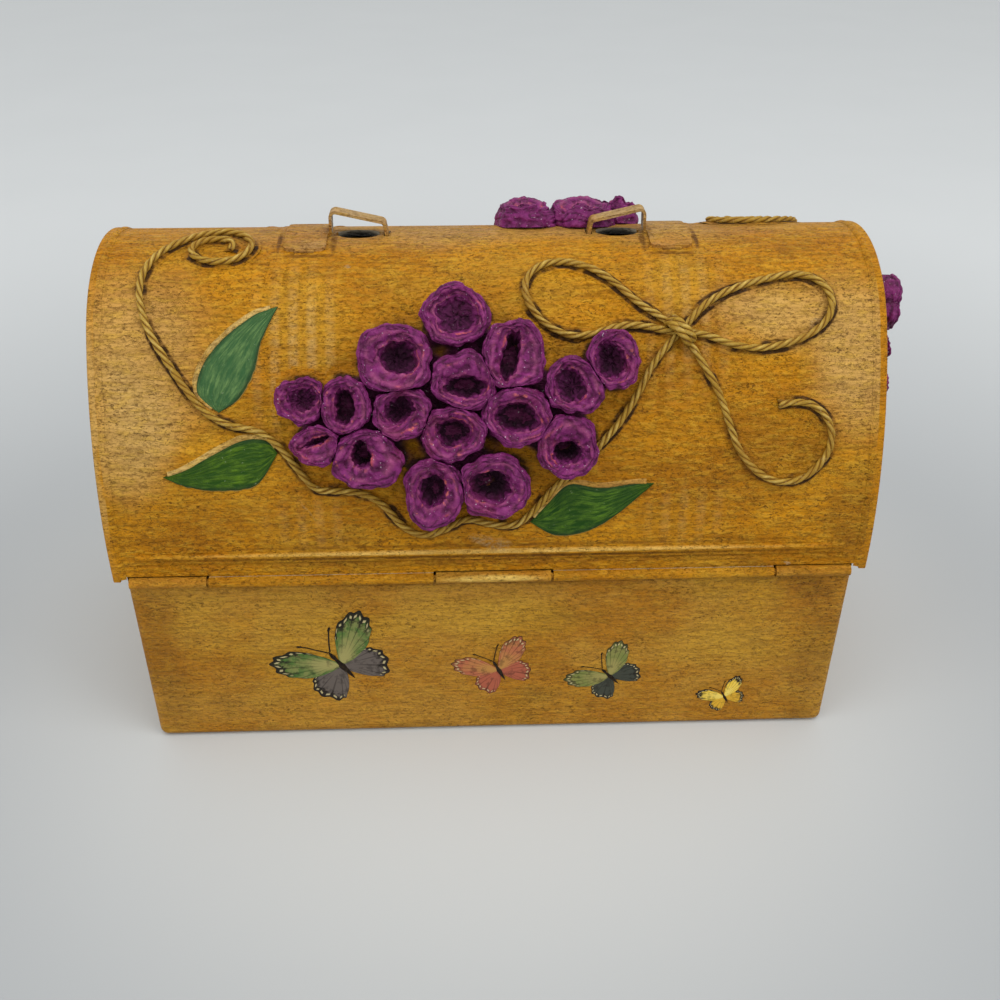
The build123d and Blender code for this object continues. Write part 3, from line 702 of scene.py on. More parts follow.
def glaze_mesh(points, half_width=0.0030, rise_to=0.0009, pooled_and_shaded=1.0):
    """Low fillet of glue along a line, with pooled glaze and painted shade darkest in its middle and on its
    right and lower side, and plain paint at its edges
    """
    shaded_side = Vector((0.45, 0.0, -0.89))
    steps = stations(points, step=0.0011)
    verts, glaze = [], []
    for along, point, out, beside in steps:
        foot = point - out * (lid_height(point) - off_sheet)
        swing = 1 + 0.30 * noise(point * 140)
        patchy = 0.9 * noise(point * 110 + Vector((3, 0, 0))) + 0.5 * noise(point * 320)
        for across, rise, dark in fillet_steps:
            spot = foot + beside * across * half_width * swing
            spot = spot + outward(spot) * (off_sheet - lid_height(spot) + rise * rise_to + rib_rise(spot.x))
            verts.append(spot)
            shade = 0.72 + 0.34 * shaded_side.dot(beside) * (1 if across > 0 else -1)
            glaze.append(pooled_and_shaded * max(0.0, min(1.0, dark * (shade + patchy))))
    return new_mesh(verts, quads(len(steps), len(fillet_steps)), glaze=glaze)


def place_piece(name, mesh, materials, node=None, body="lid"):
    """Links a finished mesh as a smooth piece that rides with a body and may stand for a CAD node"""
    mesh.name = name
    piece = bpy.data.objects.new(name, mesh)
    bpy.context.scene.collection.objects.link(piece)
    for material in materials:
        mesh.materials.append(material)
    mesh.polygons.foreach_set("use_smooth", [True] * len(mesh.polygons))
    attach(piece, body)
    if node:
        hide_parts(node)


# The cord is painted dark in the grooves between its plies as painted shade, and pale on the crests that
# face out of the lid, partly worn paint and partly a painted highlight.
groove_shade_brown = (0.170, 0.075, 0.006)
twine_gold = (0.430, 0.250, 0.026)
crest_highlight_and_wear = (0.86, 0.63, 0.180)
twine_fibre, place = new_material("twine_fibre")
fibres = noisy(uv_place(place, "along"), (0.55, 9, 1), 3)
mottle = grain(place, 140, 0.38, 0.66)
frayed = grain(place, 900, 0.56, 0.70, 3)
ridge = fact(place, "ridge")
cord_tint = coated(
    mixed(ramp(ridge, 0.05, 0.50), groove_shade_brown, twine_gold),
    (ramp(ridge, 0.50, 0.98), scaled(mottle, 0.60, 0.05), crest_highlight_and_wear),
    (ramp(fibres, 0.35, 0.65), 0.45, (0.18, 0.080, 0.006)),
    (frayed, 0.45, (0.62, 0.44, 0.16)),
    (grain(place, 60, 0.46, 0.66), 0.45, (0.29, 0.135, 0.010)),
)
finish(twine_fibre, cord_tint, 0.60, 0.2, scaled(frayed, 0.6, fibres), 0.7, 0.00026)

twine_middle = 1.25
for name, places, fray in (
    ("vine", vine_places, 0.0),
    ("loop_left", left_loop_places, 0.0),
    ("loop_right", right_loop_places, 0.0),
    ("tail", tail_places, 1.0),
    ("scroll_front", front_scroll_places, 0.0),
):
    route = spline_points([(x, distance, twine_middle) for x, distance in places])
    cord = ply_mesh(route, fray=fray)
    place_piece("twine_cord_" + name, cord, [twine_fibre], "twine_" + name)
    place_piece("glue_and_shadow_line_" + name, glaze_mesh(route), [lid_paint])
for name, over_x, over, replaced in (
    ("twine_cord_knot", 0.0, 0.0, "twine_knot"),
    ("twine_cord_knot_turn", 1.52, 1.178, None),
):
    route = spline_points([(x + over_x, distance + over, height) for x, distance, height in knot_places])
    place_piece(name, ply_mesh(route, size=1.0), [twine_fibre], replaced)

# Thick paint fills the small step between the dome and the folded rims at its ends.
# It runs over the whole arch as a low fillet, in the lid's own paint.
step_x = 126.8
for name, side in (("paint_seam_left", -1), ("paint_seam_right", 1)):
    route = spline_points([(side * step_x, 2000 * half_arch * number / 24, 0.2) for number in range(25)])
    place_piece(name, glaze_mesh(route, 0.0015, pooled_and_shaded=0.0), [lid_paint])

# The flowers are cups of coloured paper pulp, pressed on by hand while wet, each flattened by its
# neighbours. They are deep purple over a pink pulp that shows at the rims. Their mouths are painted
# dark as shade, and their creases carry painted shade and their ridges painted highlights.
flower_height = 0.0112
flower_fullness = 1.08
press_gap = 0.00025
crease_depth = 0.00058
crumple_depth = 0.00052
pulp_depth = 0.00060
# Each flower: x, distance, half width and half height in millimetres, the mouth's two sizes, its turn in
# degrees, its shift across and up, and its depth as a share of the flower's height
rear_flowers = [
    (-11.0, 87.4, 10.2, 8.8, 0.66, 0.62, -12, 0.02, 0.02, 0.50),
    (-31.2, 75.0, 11.2, 10.8, 0.54, 0.50, 20, 0.10, 0.06, 0.80),
    (6.8, 75.4, 9.2, 10.6, 0.30, 0.72, -14, -0.10, 0.02, 1.00),
    (-9.0, 68.2, 10.0, 8.4, 0.68, 0.38, -4, 0.02, -0.22, 0.90),
    (26.1, 66.0, 9.0, 8.7, 0.52, 0.62, 10, -0.14, 0.02, 0.55),
    (38.6, 74.0, 8.3, 8.8, 0.56, 0.66, 30, -0.10, 0.00, 0.70),
    (8.2, 57.1, 10.4, 8.8, 0.66, 0.50, -10, -0.04, -0.02, 0.95),
    (23.9, 47.8, 9.2, 9.9, 0.52, 0.36, 8, 0.02, -0.22, 1.00),
    (-13.0, 52.4, 9.4, 8.4, 0.54, 0.50, 0, 0.02, 0.02, 0.90),
    (-29.1, 58.8, 8.8, 8.0, 0.56, 0.46, 40, -0.10, 0.10, 0.80),
    (-46.8, 61.0, 7.4, 8.9, 0.44, 0.64, 4, -0.04, -0.02, 1.00),
    (-60.6, 62.8, 7.4, 7.2, 0.60, 0.50, 0, 0.05, 0.05, 0.40),
    (-56.4, 49.0, 7.6, 6.0, 0.66, 0.16, 28, 0.00, 0.24, 0.50),
    (-41.0, 44.6, 10.8, 8.9, 0.26, 0.50, 4, -0.14, 0.14, 1.00),
    (-19.0, 33.4, 9.2, 11.4, 0.48, 0.48, 0, -0.06, 0.04, 0.85),
    (-0.2, 35.4, 11.2, 10.0, 0.62, 0.54, -8, -0.06, -0.02, 0.95),
]
crest_flowers = [
    (13.4, 141.4, 8.4, 9.2, 0.40, 0.40, 0, 0.0, 0.0, 0.6),
    (33.4, 140.6, 9.2, 9.2, 0.35, 0.40, 0, 0.0, 0.0, 0.6),
    (46.6, 147.6, 6.2, 7.0, 0.40, 0.40, 0, 0.0, 0.0, 0.5),
]
# On the end plates: side, y, z, radius and height
end_flowers = [
    (1, -22.0, 156.5, 8.2, 8.6), (1, -29.0, 142.0, 4.6, 6.0), (1, -34.0, 132.6, 4.4, 5.6),
    (-1, -25.0, 142.0, 4.6, 5.2),
]

flower_paper, place = new_material("flower_paper")
rim, deep, hollow = (fact(place, name) for name in ("rim", "deep", "hollow"))
mottle = grain(place, 190, 0.36, 0.66)
creases = grain(place, 700, 0.40, 0.62)
petal = coated(
    mixed(mottle, (0.132, 0.007, 0.082), (0.205, 0.018, 0.138)),
    # Painted highlight on the ridges between creases and painted shade in the creases, from how far each
    # crease pushes in.
    (ramp(hollow, 0.45, 0.10), 0.55, (0.315, 0.052, 0.205)),
    (ramp(hollow, 0.45, 0.90), 0.75, (0.045, 0.004, 0.022)),
    (creases, 0.25, (0.34, 0.050, 0.210)),
    (grain(place, 260, 0.54, 0.70), 0.45, (0.070, 0.006, 0.034)),
    (grain(place, 90, 0.52, 0.70), 0.40, (0.190, 0.018, 0.060)),
    (ramp(rim, 0.15, 0.60), grain(place, 210, 0.36, 0.62), 0.7, (0.46, 0.100, 0.230)),
    (grain(place, 330, 0.60, 0.66, 3), grain(place, 85, 0.46, 0.60), ramp(rim, 0.10, 0.6),
     (0.70, 0.170, 0.130)),
    (ramp(rim, 0.30, 0.55), grain(place, 95, 0.57, 0.63, 3), 0.75, (0.66, 0.120, 0.110)),
    # Pale specks of dust, which also stand for painted glints.
    (grain(place, 1500, 0.735, 0.76, 1), 0.8, (0.66, 0.56, 0.60)),
    # The mouths are painted dark as shade.
    (deep, 0.96, (0.007, 0.001, 0.004)),
)
wrinkles = scaled(grain(place, 380, 0.3, 0.7), 1.4, creases)
finish(flower_paper, petal, scaled(mottle, 0.16, scaled(deep, 0.35, 0.34)), 0.20, wrinkles, 0.7, 0.00032)

pulp_grain = bpy.data.textures.new("pulp_grain", "CLOUDS")
pulp_grain.noise_scale = 0.0016
pulp_grain.noise_depth = 2

# Radius and level up the outside of a cup, each with its share of pink at the rim
foot_radius = 0.62
rim_radius = 0.83
outside_steps = [
    (0.66, -0.06, 0.0), (0.75, 0.14, 0.0), (0.87, 0.38, 0.0), (0.96, 0.62, 0.0), (1.0, 0.78, 0.0),
    (0.99, 0.88, 0.05), (0.95, 0.955, 0.1), (0.89, 0.99, 0.15), (rim_radius, 1.0, 0.15),
]
# Share of the way from the rim to the mouth's lip, with its level and its share of pink
lip_level = 0.78
lip_steps = [(0.26, 0.985, 0.45), (0.66, 0.90, 0.10), (1.0, lip_level, 0.55)]
# Share of the lip's size, fall as a share of the depth, and painted shade, down the inside of a cup
funnel_steps = [
    (0.92, 0.10, 0.10), (0.84, 0.28, 0.45), (0.72, 0.48, 0.82), (0.52, 0.62, 1.0), (0.28, 0.70, 1.0),
]
lip_starts = len(outside_steps)
funnel_starts = lip_starts + len(lip_steps)
cup_steps = funnel_starts + len(funnel_steps)
ring = 40
lip_crease = 0.55


def to_sheet(point, out):
    """Matrix that lays a shape at a point with its Z straight out and its X along the sheet"""
    side = Vector((1, 0, 0)) if out.x == 0 else Vector((0, out.x, 0))
    return Matrix.Translation(point) @ Matrix((side, out.cross(side), out)).transposed().to_4x4()


def editing(*steps):
    """Runs steps on all of the active mesh in edit mode"""
    bpy.ops.object.mode_set(mode="EDIT")
    bpy.ops.mesh.select_all(action="SELECT")
    for step in steps:
        step()
    bpy.ops.object.mode_set(mode="OBJECT")


def raise_cup():
    """Extrudes and resizes a ring, once for each step of a cup, and closes it with a point"""
    for step in range(cup_steps - 1):
        bpy.ops.mesh.extrude_edges_move(TRANSFORM_OT_translate={"value": (0, 0, 0.1)})
        bpy.ops.transform.resize(value=(0.95, 0.95, 1))
    bpy.ops.mesh.edge_face_add()
    bpy.ops.mesh.poke()


def changed(piece, kind, **settings):
    """Applies a modifier with its settings"""
    change = piece.modifiers.new(kind, kind)
    for name, value in settings.items():
        setattr(change, name, value)
    bpy.ops.object.modifier_apply(modifier=kind)


def paper_flower(form, height, matrix, seed, walls=(), foot=foot_radius, crumpled=1.0):
    """Cup drawn from a ring, up its outside, over the rim and down its mouth, then creased and roughened"""
    half_width, half_height, mouth_width, mouth_height, turn_deg, shift_x, shift_y, depth = form
    bpy.ops.object.select_all(action="DESELECT")
    bpy.ops.mesh.primitive_circle_add(vertices=ring, radius=1.0, location=(0, 0, 0))
    piece = bpy.context.object
    editing(raise_cup)
    mesh = piece.data
    turned = Matrix.Rotation(turn_deg * pi / 180, 2)
    shift = Vector((shift_x, shift_y))
    lean = Vector((noise((seed * 3.3, 1, 0)), noise((seed * 3.3, 5, 0))))
    # Painted shade in the mouth is darker for deeper cups
    darkest = 0.35 + 0.65 * depth
    facts = {key: [0.0] * len(mesh.vertices) for key in ("rim", "deep", "spin_x", "spin_y", "lap")}
    for vertex in mesh.vertices:
        number = vertex.index // ring
        flat = vertex.co.to_2d().normalized() if vertex.co.to_2d().length > 1e-5 else Vector((0, 0))
        wave = noise((flat.x * 1.2, flat.y * 1.2, seed * 5.7))
        fold = noise((flat.x * 2.4, flat.y * 2.4, seed * 3.1 + 40))
        corner = 1 - 2.2 * abs(noise((flat.x * 1.9, flat.y * 1.9, seed * 7.9 + 90)))
        lap_fold = noise((flat.x * 1.8, flat.y * 1.8, seed * 2.3 + number * 0.55))
        lip = turned @ Vector((flat.x * mouth_width, flat.y * mouth_height))
        lip = lip * (1 + 0.20 * wave + 0.12 * fold) + shift
        rim_reach = 1 + 0.13 * wave + 0.07 * fold * crumpled + 0.08 * corner
        rise = min(1.05, 1.0 + 0.12 * fold * crumpled + 0.16 * lean.dot(flat) * crumpled - 0.05 * corner)
        if crumpled > 1:
            rise = rise - 0.26 * flat.x**2
        pink = dark = 0.0
        if number < lip_starts:
            radius, level, pink = outside_steps[number]
            radius = radius + (foot - foot_radius) * max(0, 4 - number) / 4
            reach = flat * radius * rim_reach * (1 + 0.045 * lap_fold)
            level = level * rise if level > 0.3 else level
        elif number < funnel_starts:
            share, level, pink = lip_steps[number - lip_starts]
            reach = (flat * rim_radius * rim_reach).lerp(lip, share) * (1 + 0.04 * lap_fold)
            level = level * rise
        elif number < cup_steps:
            share, fall, dark = funnel_steps[number - funnel_starts]
            reach = (lip - shift) * share * (1 + 0.10 * lap_fold) + shift * (0.4 + 0.6 * share)
            level = (lip_level - fall * 0.95 * depth) * (1 + (rise - 1) * share)
        else:
            reach, level, dark = shift * 0.4, lip_level - 0.68 * depth, 1.0
        for key, value in zip(facts, (pink, dark * darkest, flat.x, flat.y, number)):
            facts[key][vertex.index] = value
        wide, high = reach.x * half_width * flower_fullness, reach.y * half_height * flower_fullness
        vertex.co = matrix @ Vector((wide / 1000, high / 1000, level * height * 0.93))
        for here, facing, share in walls:
            over = (vertex.co - here).dot(facing) - share
            if over > 0:
                vertex.co -= facing * over * 0.94
    store(mesh, **facts)
    creases = [lip_crease if {vertex // ring for vertex in edge.vertices} == {funnel_starts - 1} else 0.0
               for edge in mesh.edges]
    mesh.attributes.new("crease_edge", "FLOAT", "EDGE").data.foreach_set("value", creases)
    editing(lambda: bpy.ops.mesh.normals_make_consistent(inside=False))
    changed(piece, "SUBSURF", levels=2, render_levels=2)
    spins = [[0.0] * len(mesh.vertices) for key in ("spin_x", "spin_y", "lap")]
    for key, values in zip(("spin_x", "spin_y", "lap"), spins):
        mesh.attributes[key].data.foreach_get("value", values)
    pushes = []
    for spin_x, spin_y, lap in zip(*spins):
        crease = 1 - abs(noise((spin_x * 1.7, spin_y * 1.7, lap * 0.80 + seed * 9.1))) * 3.0
        crumple = noise((spin_x * 4.0, spin_y * 4.0, lap * 0.45 + seed * 4.7))
        pushes.append(-crease_depth * max(0.0, crease) ** 2 + crumple_depth * crumple)
    # How far the creases push in, kept for painted shade in the creases and painted highlight on the ridges
    store(mesh, hollow=[max(0.0, min(1.0, 0.45 - push / 0.0010)) for push in pushes])
    normals = [vertex.normal.copy() for vertex in mesh.vertices]
    for vertex, normal, push in zip(mesh.vertices, normals, pushes):
        vertex.co += normal * push
    changed(piece, "DISPLACE", texture=pulp_grain, texture_coords="LOCAL",
            strength=pulp_depth, mid_level=0.55)
    finished = mesh.copy()
    bpy.data.objects.remove(piece)
    return finished


def pressing_walls(flower, cluster):
    """Planes halfway to each neighbour, where the wet cups press on each other"""
    here, size = cup_middle(flower)
    walls = []
    for other in cluster:
        there, other_size = cup_middle(other)
        apart = (there - here).length
        if other is flower or apart > size + other_size:
            continue
        share = (apart**2 + size**2 - other_size**2) / (2 * apart) - press_gap
        walls.append((here, (there - here).normalized(), share))
    return walls


def cup_middle(flower):
    """Middle of a cup and its mean radius"""
    x, distance, half_width, half_height, *mouth = flower
    return on_lid(x, distance, 500 * flower_height), flower_fullness * (half_width + half_height) / 2000


for group, cluster, tall, seed_start, foot, crumpled in (
    ("flower_rear_", rear_flowers, 1, 0, foot_radius, 1),
    ("flower_crest_", crest_flowers, 0.88, 50, 1.15, 2.4),
):
    for number, flower in enumerate(cluster, 1):
        x, distance, *form = flower
        label = f"{group}{number:02d}"
        mesh = paper_flower(form, flower_height * tall, to_sheet(on_lid(x, distance), lid_out(distance)),
                            number + seed_start, pressing_walls(flower, cluster), foot, crumpled)
        place_piece("paper_" + label, mesh, [flower_paper], label)
end_plate_x = 0.1293
for number, (side, y, z, radius, height) in enumerate(end_flowers, 1):
    label = f"flower_end_{number:02d}"
    form = (radius, radius, 0.5, 0.5, 0, 0, 0, 0.5)
    matrix = to_sheet((side * end_plate_x, y / 1000, z / 1000), Vector((side, 0, 0)))
    mesh = paper_flower(form, height * 0.92 / 1000, matrix, number + 30, foot=0.84)
    place_piece("paper_" + label, mesh, [flower_paper], label)

# Under the cluster the glue makes an uneven bed. Between the cups it is dark plum, partly the flowers'
# purple and partly painted shade, and just outside them brown, partly glaze and partly painted shade.
bed_paint = ochre_paint("bed_paint", ochre, (0, 0, 0.105))
shader = bed_paint.node_tree.nodes["Principled BSDF"]
place = bed_paint.node_tree.nodes["Texture Coordinate"].outputs["Object"]
# Dark plum between the cups, partly the flowers' purple and partly painted shade
plum = coated(
    mixed(grain(place, 240, 0.36, 0.62), (0.030, 0.004, 0.016), (0.110, 0.014, 0.060)),
    (grain(place, 1100, 0.66, 0.72), 0.7, (0.50, 0.48, 0.46)),
)
painted = shader.inputs["Base Color"].links[0].from_socket
join(shader, {"Base Color": mixed(ramp(fact(place, "stain"), 0.25, 0.75), painted, plum)})

bed_x, bed_distance = -8, 60
bed_width, bed_length = 146, 104
bed_lift, bed_thickness, between_rise = 0.09, 0.5, 1.6


def grid(columns, rows):
    """Mesh of a flat grid of size 1, kept without its object"""
    bpy.ops.mesh.primitive_grid_add(x_subdivisions=columns, y_subdivisions=rows, size=1.0)
    piece = bpy.context.object
    mesh = piece.data.copy()
    bpy.data.objects.remove(piece)
    return mesh


bed_mesh = grid(180, 130)
glaze, stain = [], []
for vertex in bed_mesh.vertices:
    x = bed_x + vertex.co.x * bed_width
    distance = bed_distance + vertex.co.y * bed_length
    first, second, third, *farther = sorted(
        Vector(((x - flower[0]) / flower[2], (distance - flower[1]) / flower[3])).length / flower_fullness
        for flower in rear_flowers
    )
    uneven = 0.16 * noise((x * 0.16, distance * 0.16, 0))
    dark = max(0.0, min(1.0, (1.30 - first - uneven) / 0.34))
    between = max(0.0, min(1.0, (3.35 - first - second - 0.5 * third - uneven) / 0.5))
    glaze.append(dark**1.5)
    stain.append(between)
    lump = 0.35 * noise((x * 0.5, distance * 0.5, 4))
    rise = bed_lift + dark * (bed_thickness + lump) + between * between_rise
    vertex.co = on_lid(x, distance, rise + 1000 * rib_rise(x / 1000))
store(bed_mesh, glaze=glaze, stain=stain)


def trim_bed(shell):
    """Takes off the faces with no glaze at all"""
    layer = shell.verts.layers.float["glaze"]
    plain = [face for face in shell.faces if all(vertex[layer] <= 0 for vertex in face.verts)]
    bmesh.ops.delete(shell, geom=plain, context="FACES")


reworked(bed_mesh, trim_bed)
place_piece("glue_bed", bed_mesh, [bed_paint])

# The three leaves are cut from thin card, painted green in strokes along them, with a pale worn cut edge.
# Each has its two long sides from end to end, in millimetres on the lid, and its dark and light green.
leaf_sides = {
    "leaf_upper": (
        [(-88.4, 59.0), (-95.4, 65.0), (-93.4, 74.4), (-86.4, 83.0), (-76.4, 90.4), (-68.7, 92.8)],
        [(-88.4, 59.0), (-81.6, 63.4), (-76.4, 72.0), (-74.0, 81.6), (-68.7, 92.8)],
        (0.032, 0.105, 0.030), (0.140, 0.250, 0.075),
    ),
    "leaf_lower_left": (
        [(-108.0, 38.0), (-100.8, 40.4), (-91.0, 45.8), (-81.2, 50.4), (-73.6, 50.2), (-70.2, 45.6)],
        [(-108.0, 38.0), (-100.6, 34.4), (-90.0, 32.8), (-78.0, 34.6), (-70.2, 45.6)],
        (0.016, 0.062, 0.001), (0.105, 0.205, 0.006),
    ),
    "leaf_lower_right": (
        [(12.3, 20.0), (18.0, 27.0), (25.0, 33.8), (35.4, 32.2), (46.0, 33.4), (53.6, 33.4)],
        [(12.3, 20.0), (20.8, 14.6), (31.0, 15.6), (41.0, 21.6), (53.6, 33.4)],
        (0.010, 0.052, 0.001), (0.095, 0.200, 0.010),
    ),
}


def smooth_side(points, share, closed=False):
    """Point at a share of the way along a smooth line through the given ones"""
    padded = [points[-1], *points, *points[:2]] if closed else [points[0], *points, points[-1]]
    count = len(padded) - 3
    number = min(int(share * count), count - 1)
    here = share * count - number
    before, start, end, after = (Vector(spot) for spot in padded[number:number + 4])
    return 0.5 * (2 * start + (end - before) * here + (2 * before - 5 * start + 4 * end - after) * here**2
                  + (3 * start - before - 3 * end + after) * here**3)


def leaf_paint(name, dark, light):
    material, place = new_material(name)
    leaf = uv_place(place, "leaf")
    from_middle = sums("ABSOLUTE", sums("SUBTRACT", part(leaf, "Y"), 0.5))
    strokes = ramp(noisy(leaf, (7, 13, 1), 5, 0.65, turn=0.25), 0.38, 0.68)
    green = coated(
        mixed(strokes, dark, light),
        (grain(place, 130, 0.42, 0.64), 0.65, dark),
        (ramp(from_middle, 0.030, 0.0), 0.15, light),
        (ramp(from_middle, 0.36, 0.46), 0.75, (0.012, 0.040, 0.010)),
        (grain(place, 900, 0.66, 0.72), 0.5, (0.35, 0.42, 0.25)),
        (ramp(fact(place, "cut"), 0.45, 0.85), (0.36, 0.22, 0.05)),
    )
    finish(material, green, 0.46, 0.2, scaled(grain(place, 420, 0.3, 0.7), 0.6, strokes), 0.7, 0.00032)
    return material


card_lift, edge_lift, midrib_depth = 0.52, 0.10, 0.12
for name, (first, second, dark, light) in leaf_sides.items():
    mesh = grid(60, 22)
    shares = [(vertex.co.x + 0.5, vertex.co.y + 0.5) for vertex in mesh.vertices]
    keep_map(mesh, "leaf", shares)
    cut = []
    for vertex, (along, share) in zip(mesh.vertices, shares):
        nick = 0.35 * noise((along * 22, round(share), len(name)))
        spot = smooth_side(second, along).lerp(smooth_side(first, along), share)
        middle = smooth_side(second, along).lerp(smooth_side(first, along), 0.5)
        if share in (0.0, 1.0) and (spot - middle).length > 0.5:
            spot = spot + (spot - middle).normalized() * nick
        on_edge = min(share, 1 - share) < 0.001
        cut.append(1.0 if on_edge else 0.0)
        swell = 0.10 * sin(pi * share) + 0.10 * noise((spot.x * 0.2, spot.y * 0.2, 1))
        midrib = midrib_depth * exp(-(((share - 0.5) / 0.03) ** 2))
        lift = (edge_lift if on_edge else card_lift + swell) - midrib
        vertex.co = on_lid(*spot, lift + 1000 * rib_rise(spot.x / 1000))
    store(mesh, cut=cut)
    place_piece("card_" + name, mesh, [leaf_paint("paint_" + name, dark, light)], name)

# Glue pressed out along one side of each leaf dried as a low rounded ridge, paler than the paint round it.
# It follows the leaf's first side, a little outside it.
ridge_paint = ochre_paint("ridge_paint", (0.66, 0.44, 0.14), (0, 0, 0.074))
for name, (first, second, *greens) in leaf_sides.items():
    ridge_line = []
    for number in range(13):
        share = 0.06 + 0.88 * number / 12
        point = smooth_side(first, share)
        ridge_line.append((*(point + (point - smooth_side(second, share)).normalized() * 0.25), 0.2))
    ridge = glaze_mesh(spline_points(ridge_line), 0.0011, 0.0012, pooled_and_shaded=0.0)
    place_piece("glue_rim_" + name, ridge, [ridge_paint])

# The four butterflies are thin paper cut-outs pasted on the rear, each with two fore wings, two hind wings,
# a dark body and two feelers in ink. Their pattern is a plain one of veins and a spotted margin.
rear_face = -0.0603
fore_wing = [(0.1, -0.08), (0.6, 0.02), (0.96, 0.38), (0.9, 0.72), (0.42, 0.62), (0.03, 0.05)]
hind_wing = [(0.02, -0.2), (0.22, -0.52), (0.5, -0.68), (0.74, -0.3), (0.55, 0.0), (0.03, 0.02)]
ink = (0.010, 0.006, 0.004)
# Each butterfly: x, z and span in millimetres, its turn in degrees, the colours of the fore wings, of their
# roots and of the hind wings, and the strength of the dark margin
butterflies = [
    ("butterfly_green", -56.0, 35.0, 44.0, 35.0,
     (0.075, 0.155, 0.030), (0.36, 0.32, 0.11), (0.130, 0.105, 0.090), 0.95),
    ("butterfly_coral", 1.6, 30.6, 30.0, 26.0,
     (0.46, 0.130, 0.060), (0.50, 0.24, 0.06), (0.42, 0.105, 0.055), 0.40),
    ("butterfly_pale", 42.6, 26.4, 29.0, 42.0,
     (0.19, 0.215, 0.050), (0.34, 0.29, 0.09), (0.050, 0.055, 0.040), 0.65),
    ("butterfly_yellow", 87.0, 14.6, 19.0, 28.0,
     (0.86, 0.56, 0.045), (0.90, 0.68, 0.14), (0.74, 0.42, 0.03), 1.00),
]


def from_nearest(value, count):
    """How far a value is from the nearest of a count of even marks, from 0 to a half of their spacing"""
    return sums("ABSOLUTE", sums("SUBTRACT", sums("FRACT", times(value, count)), 0.5))


def wing_print(name, field, root, margin_share):
    """Printed wing: a root tint, a field with veins, and a dark margin with pale spots"""
    material, place = new_material(name)
    fan = uv_place(place, "fan")
    round_edge, reach = part(fan, "X"), part(fan, "Y")
    vein = times(ramp(from_nearest(round_edge, 11.0), 0.12, 0.02), ramp(reach, 0.15, 0.5))
    outer = times(ramp(round_edge, 0.24, 0.36), ramp(round_edge, 0.80, 0.68))
    ragged = scaled(grain(place, 600, 0.3, 0.7), 0.16, reach)
    band = times(ramp(ragged, 0.93 - 0.10 * margin_share, 0.97), outer)
    in_margin = ramp(sums("ABSOLUTE", sums("SUBTRACT", reach, 0.91)), 0.035, 0.015)
    spot = times(ramp(from_nearest(round_edge, 22.0), 0.30, 0.18), in_margin)
    tint = coated(
        mixed(ramp(reach, 0.75, 0.15), field, root),
        (grain(place, 300, 0.4, 0.6), 0.45, root),
        (grain(place, 420, 0.50, 0.66), 0.45, ink),
        (vein, 0.55, ink),
        (band, margin_share, ink),
        (spot, outer, 0.8, (0.62, 0.52, 0.26)),
        (ramp(reach, 0.975, 0.99), ink),
    )
    finish(material, tint, 0.45, 0.2, grain(place, (28, 520, 520), 0.40, 0.68), 0.2, 0.0001)
    return material


def merge_points(shell):
    bmesh.ops.remove_doubles(shell, verts=shell.verts, dist=0.000001)


def face_rear(shell):
    """Merges points and turns every face to the hinge side"""
    merge_points(shell)
    for face in shell.faces:
        face.normal_update()
        if face.normal.y > 0:
            face.normal_flip()


butterfly_ink, place = new_material("butterfly_ink")
finish(butterfly_ink, mixed(grain(place, 800, 0.35, 0.7), ink, (0.034, 0.022, 0.012)), 0.6, 0.1)
upright_page = Matrix(((1, 0, 0, 0), (0, 0, -1, 0), (0, 1, 0, 0), (0, 0, 0, 1)))
wing_rings, wing_sides = 14, 72
paper_lift, fore_over_hind, cupped, margin_lift = 0.00016, 0.00008, 0.00012, 0.00004
body_lift, feeler_lift = 0.00030, 0.00007
body_widths = [0.0, 0.028, 0.040, 0.026, 0.046, 0.060, 0.054, 0.040, 0.030, 0.018, 0.0]
body_columns = (-1, -0.6, 0, 0.6, 1)

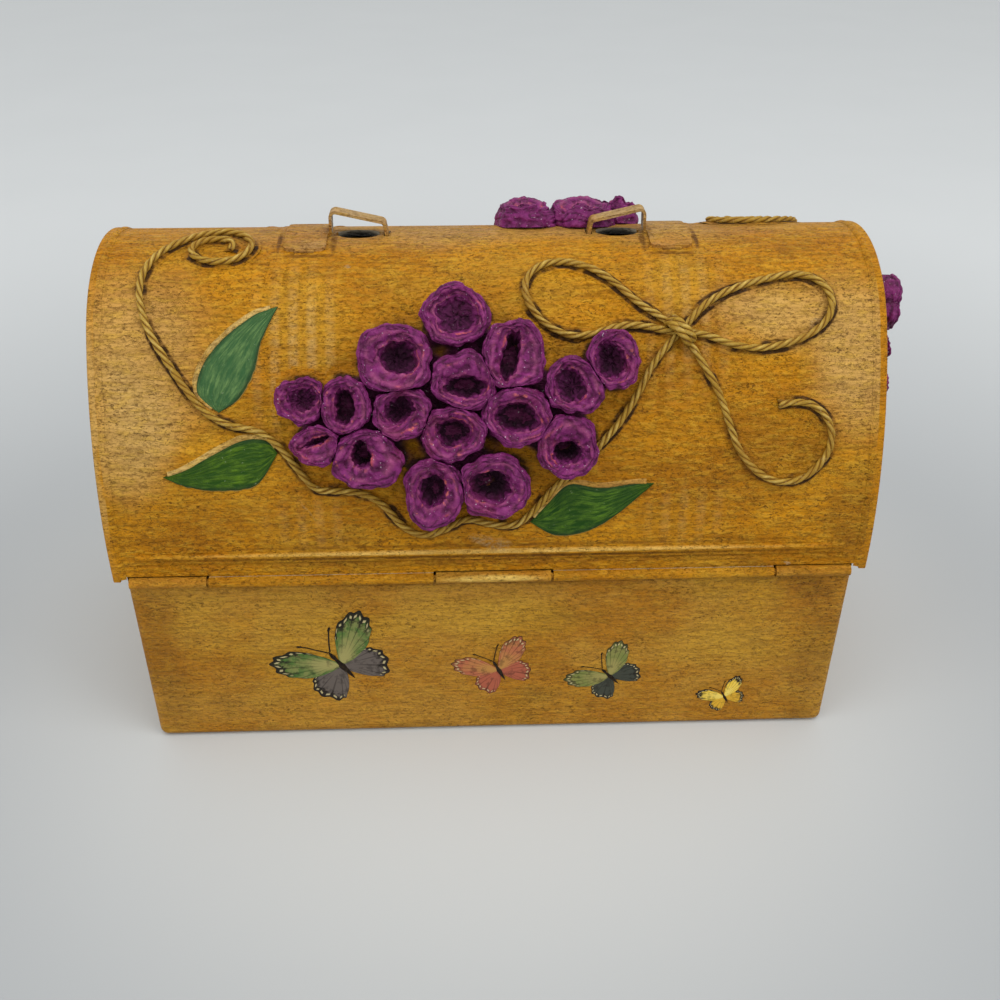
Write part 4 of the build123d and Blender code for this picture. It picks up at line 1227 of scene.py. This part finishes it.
for name, x, z, span, lean, field, root, hind, margin_share in butterflies:
    matrix = Matrix.Translation((x / 1000, rear_face, z / 1000)) @ upright_page
    matrix = matrix @ Matrix.Rotation(lean * pi / 180, 4, "Z")
    half = span / 2000

    def on_page(flat_x, flat_y, lift, over_ribs=True):
        """Point of the butterfly at shares of half its span, laid over the ribs"""
        point = matrix @ Vector((flat_x * half, flat_y * half, lift))
        if over_ribs:
            point.y -= 0.54 * rib_rise(point.x)
        return point

    verts, faces, uvs, slots = [], [], [], []
    for outline, side in ((hind_wing, -1), (hind_wing, 1), (fore_wing, -1), (fore_wing, 1)):
        fore = outline is fore_wing
        faces += quads(wing_rings + 1, wing_sides, len(verts), closed=True, flipped=side > 0)
        slots += [0 if fore else 1] * (wing_rings * wing_sides)
        centre = Vector((0.03, -0.02)) if fore else Vector((0.03, -0.06))
        for ring_number in range(wing_rings + 1):
            for number in range(wing_sides):
                share = number / wing_sides
                inset = min(1.0, max(0.0, 6 * min(share - 0.12, 0.88 - share)))
                scallop = 1 - 0.030 * (1 - cos(2 * pi * share * 11)) * inset
                edge = smooth_side(outline, share, closed=True) * scallop
                flat = centre.lerp(edge, ring_number / wing_rings)
                lift = paper_lift + fore * fore_over_hind + cupped * (1 - ring_number / wing_rings)
                if ring_number == wing_rings:
                    lift = margin_lift
                verts.append(on_page(side * flat.x, flat.y, lift))
                uvs.append((share, ring_number / wing_rings))
    mesh = new_mesh(verts, faces)
    layer = keep_map(mesh, "fan", uvs)
    for face in mesh.polygons:
        corners = [layer.data[loop].uv for loop in face.loop_indices]
        if max(corner.x for corner in corners) - min(corner.x for corner in corners) > 0.5:
            for corner in corners:
                corner.x += corner.x < 0.5
    prints = [wing_print("print_" + name, field, root, margin_share),
              wing_print("print_hind_" + name, hind, hind, margin_share)]
    place_piece("pasted_" + name, mesh, prints, name, "base")
    mesh.polygons.foreach_set("material_index", slots)
    reworked(mesh, merge_points)

    verts = []
    for number, width in enumerate(body_widths):
        along = 0.30 - 0.72 * number / (len(body_widths) - 1)
        for share in body_columns:
            lift = body_lift + body_lift * (1 - share * share) * min(1.0, width / 0.04)
            verts.append(on_page(share * width, along, lift, over_ribs=False))
    faces = quads(len(body_widths), len(body_columns), flipped=True)
    for side in (-1, 1):
        faces += quads(13, 2, len(verts))
        for number in range(13):
            share = number / 12
            feeler_x = side * (0.02 + 0.26 * share + 0.06 * share * share)
            width = {11: 0.034, 12: 0.016}.get(number, 0.015)
            verts += [on_page(feeler_x + sign * width, 0.27 + 0.42 * share, feeler_lift) for sign in (-1, 1)]
    mesh = new_mesh(verts, faces)
    reworked(mesh, face_rear)
    place_piece("ink_" + name, mesh, [butterfly_ink], body="base")
